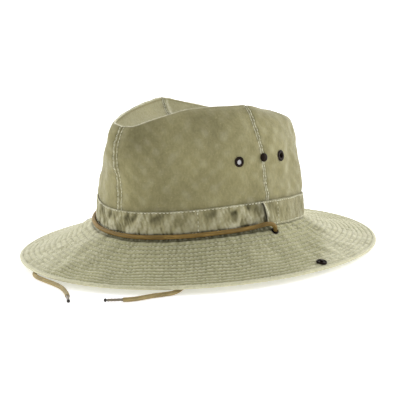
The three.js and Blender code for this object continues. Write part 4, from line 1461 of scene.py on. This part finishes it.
def brim_relief(angle, share, strength=1.0):
    """Stitched rings and the puckers between them, and the brim's wear, painted light and painted shade."""
    ring = share / RING_STEP
    across = (ring - np.round(ring)) * RING_STEP * BRIM_WIDE
    out = share * BRIM_WIDE
    groove = bump(across / RING_GROOVE_WIDE)
    pillow = 1 - bump(across / RING_PILLOW_WIDE)
    own = 0
    for index in range(BRIM_RINGS):
        inside = np.clip(1 - np.abs(ring - index - 0.5) / 0.5, 0, 1) ** 0.5
        own = own + inside * waves(angle, 0.0, 60 + index, 140, 0, 9)
    puckers = 0.6 * waves(angle, out, 51, 105, 55) + 0.65 * own
    broad = waves(angle, out, 52, 15, 10) * arch(share)
    where_folded = 0.35 + bump_at(angle, -112, 20) + 0.6 * bump_at(angle, 25, 25)
    fine_folds = waves(angle, out, 53, 40, 22) * where_folded
    crests, slopes = brim_folds(angle, share)
    flat = smooth_step(share, 0.0, 0.02) * (1 - smooth_step(share, 1 - EDGE_SHARE, 1))
    rings = RING_PILLOW * pillow - RING_GROOVE * groove + RING_PUCKER * pillow * puckers
    folds = BRIM_BROAD * broad + BRIM_FINE_FOLD * fine_folds + BRIM_FOLD * (crests - 0.6 * slopes)
    lit_sides = brim_lit_sides(angle, share)
    # painted highlight on pucker tops and fold crests, wear near the edge, and painted light on two
    # stretches
    wear_and_painted_light = 0.45 * pillow * np.clip(puckers * 0.9, 0, 1) + 0.16 * smooth_step(share, 0.965, 0.99)
    wear_and_painted_light = wear_and_painted_light + 0.12 * crests + 0.4 * lit_sides
    # painted shade in the grooves, pucker hollows and folds' slopes, and in a line before the rolled edge
    painted_shade = 0.5 * groove + 0.24 * np.clip(-puckers * 0.8, 0, 1) * pillow + 0.12 * slopes
    painted_shade = painted_shade * (1 - 0.3 * lit_sides) + 0.4 * bump((share - 0.968) / 0.006)
    # painted shadow of the cord on the brim beside the band
    by_cord = smooth_step(np.sin(np.radians(angle)), 0.1, -0.05)
    painted_shade = painted_shade + 0.9 * by_cord * (1 - smooth_step(out, *CORD_SHADOW_REACH))
    # painted shade over the near front of the brim
    painted_shade = painted_shade + 0.17 * bump_at(angle, -34, 34)
    return flat * (strength * rings + folds), np.clip(wear_and_painted_light, 0, 1), np.clip(painted_shade, 0, 1)


def brim_normals(angle, share):
    around = brim_top(angle + 0.5, share) - brim_top(angle - 0.5, share)
    outwards = brim_top(angle, share + 0.004) - brim_top(angle, share - 0.004)
    normal = unit(np.cross(outwards, around))
    return normal * np.sign(normal[..., 2:])


def brim_rim(angles, steps=9):
    """The round of the rolled edge, from the top over to the floor side."""
    turn = np.linspace(math.pi / 2, -math.pi / 2, steps)[:, None, None]
    radius = BRIM_EDGE / 2
    middle = brim_edge(angles, radius - BRIM_ROLL)
    middle[..., 2] = brim_edge(angles)[..., 2] + radius
    return middle + radius * (np.cos(turn) * outward(angles) + np.sin(turn) * UP)


def ring_shares(rows):
    """Shares of the way out at which each ring of the brim has its rows of points."""
    return ((np.arange(BRIM_RINGS)[:, None] + rows) * RING_STEP).ravel()


def add_brim(holes):
    """The brim's cloth, as one closed skin over its top, its rolled edge and its underside."""
    angles = np.arange(BRIM_COLUMNS) * 360 / BRIM_COLUMNS
    angle, share = np.meshgrid(angles, (*ring_shares(RING_ROWS), *EDGE_SHARES))
    relief, wear_and_painted_light, painted_shade = brim_relief(angle, share)
    top = brim_top(angle, share) + brim_normals(angle, share) * relief[..., None]
    rim = brim_rim(angles)
    angle, share = np.meshgrid(angles, (1 - EDGE_SHARE, *ring_shares(UNDER_ROWS)[::-1]))
    under = brim_top(angle, share)
    under[..., 2] -= BRIM_CLOTH + brim_relief(angle, share, UNDER_STRENGTH)[0]
    points = to_world(np.concatenate((top, rim, under)))
    points[..., 2] = np.maximum(points[..., 2], FLOOR_GAP)
    faces = grid_faces(len(points), BRIM_COLUMNS, loop=True)
    unseen = np.zeros(points[..., 0].size - wear_and_painted_light.size)
    values = {"wear_and_painted_light": np.append(wear_and_painted_light, unseen), "painted_shade": np.append(painted_shade, unseen)}
    values["wear_and_painted_light"][wear_and_painted_light.size : wear_and_painted_light.size + rim[..., 0].size] = EDGE_WORN
    piece = tidy(new_piece("brim_cotton", points, faces, BRIM_COTTON, "brim_cloth", 70, values))
    cut_holes(piece, holes)
    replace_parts(piece, "brim")
    add_brim_stitches()


def add_brim_stitches():
    """Rings of stitches on both sides of the brim, left out where the cord lies over them."""
    all_round = np.linspace(0, 360, 720, endpoint=False)
    behind = all_round[np.sin(np.radians(all_round)) > 0.05]
    for name, under in (("brim_stitches", False), ("brim_stitches_under", True)):
        rows = []
        for ring in range(1, BRIM_RINGS + 1):
            whole = under or ring * RING_STEP * BRIM_WIDE > CORD_SHADOW_REACH[1]
            angles = all_round if whole else behind
            share = np.full(angles.shape, ring * RING_STEP)
            facing = brim_normals(angles, share)
            path = brim_top(angles, share)
            if under:
                path[:, 2] -= BRIM_CLOTH + brim_relief(angles, share, UNDER_STRENGTH)[0]
                facing = -facing
            else:
                path = path + facing * brim_relief(angles, share)[0][:, None]
            rows.append(stitches(to_world(path), facing @ LEAN.T, closed=whole, **BRIM_STITCH))
        add_stitches(name, rows, THREAD, "brim_cloth")


# ---- floor and light ----

FLOOR_HALF = 6.0
FLOOR_DROP = 0.0001  # below the surface that the hat stands on


def add_floor():
    """A plain pale floor."""
    material = Nodes("pale_floor").finish(
        base_color=grey(0.92),
        roughness=0.9,
        specular_ior_level=0.1,
        emission_color=grey(1.0),
        emission_strength=0.45,
    )
    mesh = bpy.data.meshes.new("floor")
    corners = [(x * FLOOR_HALF, y * FLOOR_HALF, 0) for x, y in ((-1, -1), (1, -1), (1, 1), (-1, 1))]
    mesh.from_pydata(corners, [], [(0, 1, 2, 3)])
    mesh.materials.append(material)
    floor = bpy.data.objects.new("floor", mesh)
    floor.location.z = -FLOOR_DROP
    bpy.context.scene.collection.objects.link(floor)


def softbox(name, azimuth, elevation, distance, size, watts):
    """A square soft light, aimed at the hat; azimuth is counted as the camera's is."""
    data = bpy.data.lights.new(name, "AREA")
    data.size, data.energy = size, watts
    light = bpy.data.objects.new(name, data)
    a, e = math.radians(azimuth), math.radians(elevation)
    back = Vector((math.sin(a) * math.cos(e), -math.cos(a) * math.cos(e), math.sin(e)))
    light.location = back * distance + Vector((0, 0, AIM_HEIGHT))
    light.rotation_mode = "QUATERNION"
    light.rotation_quaternion = back.to_track_quat("Z", "Y")
    bpy.context.scene.collection.objects.link(light)


AIM_HEIGHT = 0.05  # of the point that the lights turn round
# each light's name, azimuth, elevation, distance, size and watts
SOFTBOXES = (
    ("left_box", VIEW_AZIMUTH - 115, 28, 1.6, 1.1, 4.0),
    ("right_box", VIEW_AZIMUTH + 115, 28, 1.6, 1.1, 3.8),
    ("top_box", VIEW_AZIMUTH + 180, 70, 1.6, 1.2, 3.4),
)
# how bright the studio is to the picture's right, behind the hat and above it, and then to the
# picture's left, on the camera's side and below
RIGHT_BACK_TOP = (2.45, 2.8, 0.05)
LEFT_FRONT = (2.2, 0.13, 0)


def add_light():
    """A bright studio behind and beside the hat, and a dark one in front of it."""
    for box in SOFTBOXES:
        softbox(*box)
    world = bpy.data.worlds.new("studio")
    world.use_nodes = True
    tree = world.node_tree

    def vector(operation, *inputs):
        node = tree.nodes.new("ShaderNodeVectorMath")
        node.operation = operation
        for socket, value in zip(node.inputs, inputs):
            if isinstance(value, bpy.types.NodeSocket):
                tree.links.new(value, socket)
            else:
                socket.default_value = value
        return node.outputs["Value"] if operation == "DOT_PRODUCT" else node.outputs[0]

    turn = tree.nodes.new("ShaderNodeVectorRotate")
    turn.rotation_type = "Z_AXIS"
    turn.inputs["Angle"].default_value = -math.radians(VIEW_AZIMUTH)
    tree.links.new(tree.nodes.new("ShaderNodeTexCoord").outputs["Generated"], turn.inputs["Vector"])
    toward = vector("MAXIMUM", turn.outputs[0], (0, 0, 0))
    away = vector("MAXIMUM", vector("MULTIPLY", turn.outputs[0], (-1, -1, -1)), (0, 0, 0))
    level = tree.nodes.new("ShaderNodeMath")
    for socket, side, weights in zip(level.inputs, (toward, away), (RIGHT_BACK_TOP, LEFT_FRONT)):
        tree.links.new(vector("DOT_PRODUCT", vector("MULTIPLY", side, side), weights), socket)
    sky = tree.nodes["Background"]
    sky.inputs["Color"].default_value = grey(1.0)
    tree.links.new(level.outputs[0], sky.inputs["Strength"])
    bpy.context.scene.world = world
    bpy.context.scene.view_settings.view_transform = "Standard"


# ---- everything ----

add_cords()
crown_holes, brim_holes = add_fittings()
add_crown(crown_holes)
add_band()
add_brim(brim_holes)
add_floor()
add_light()
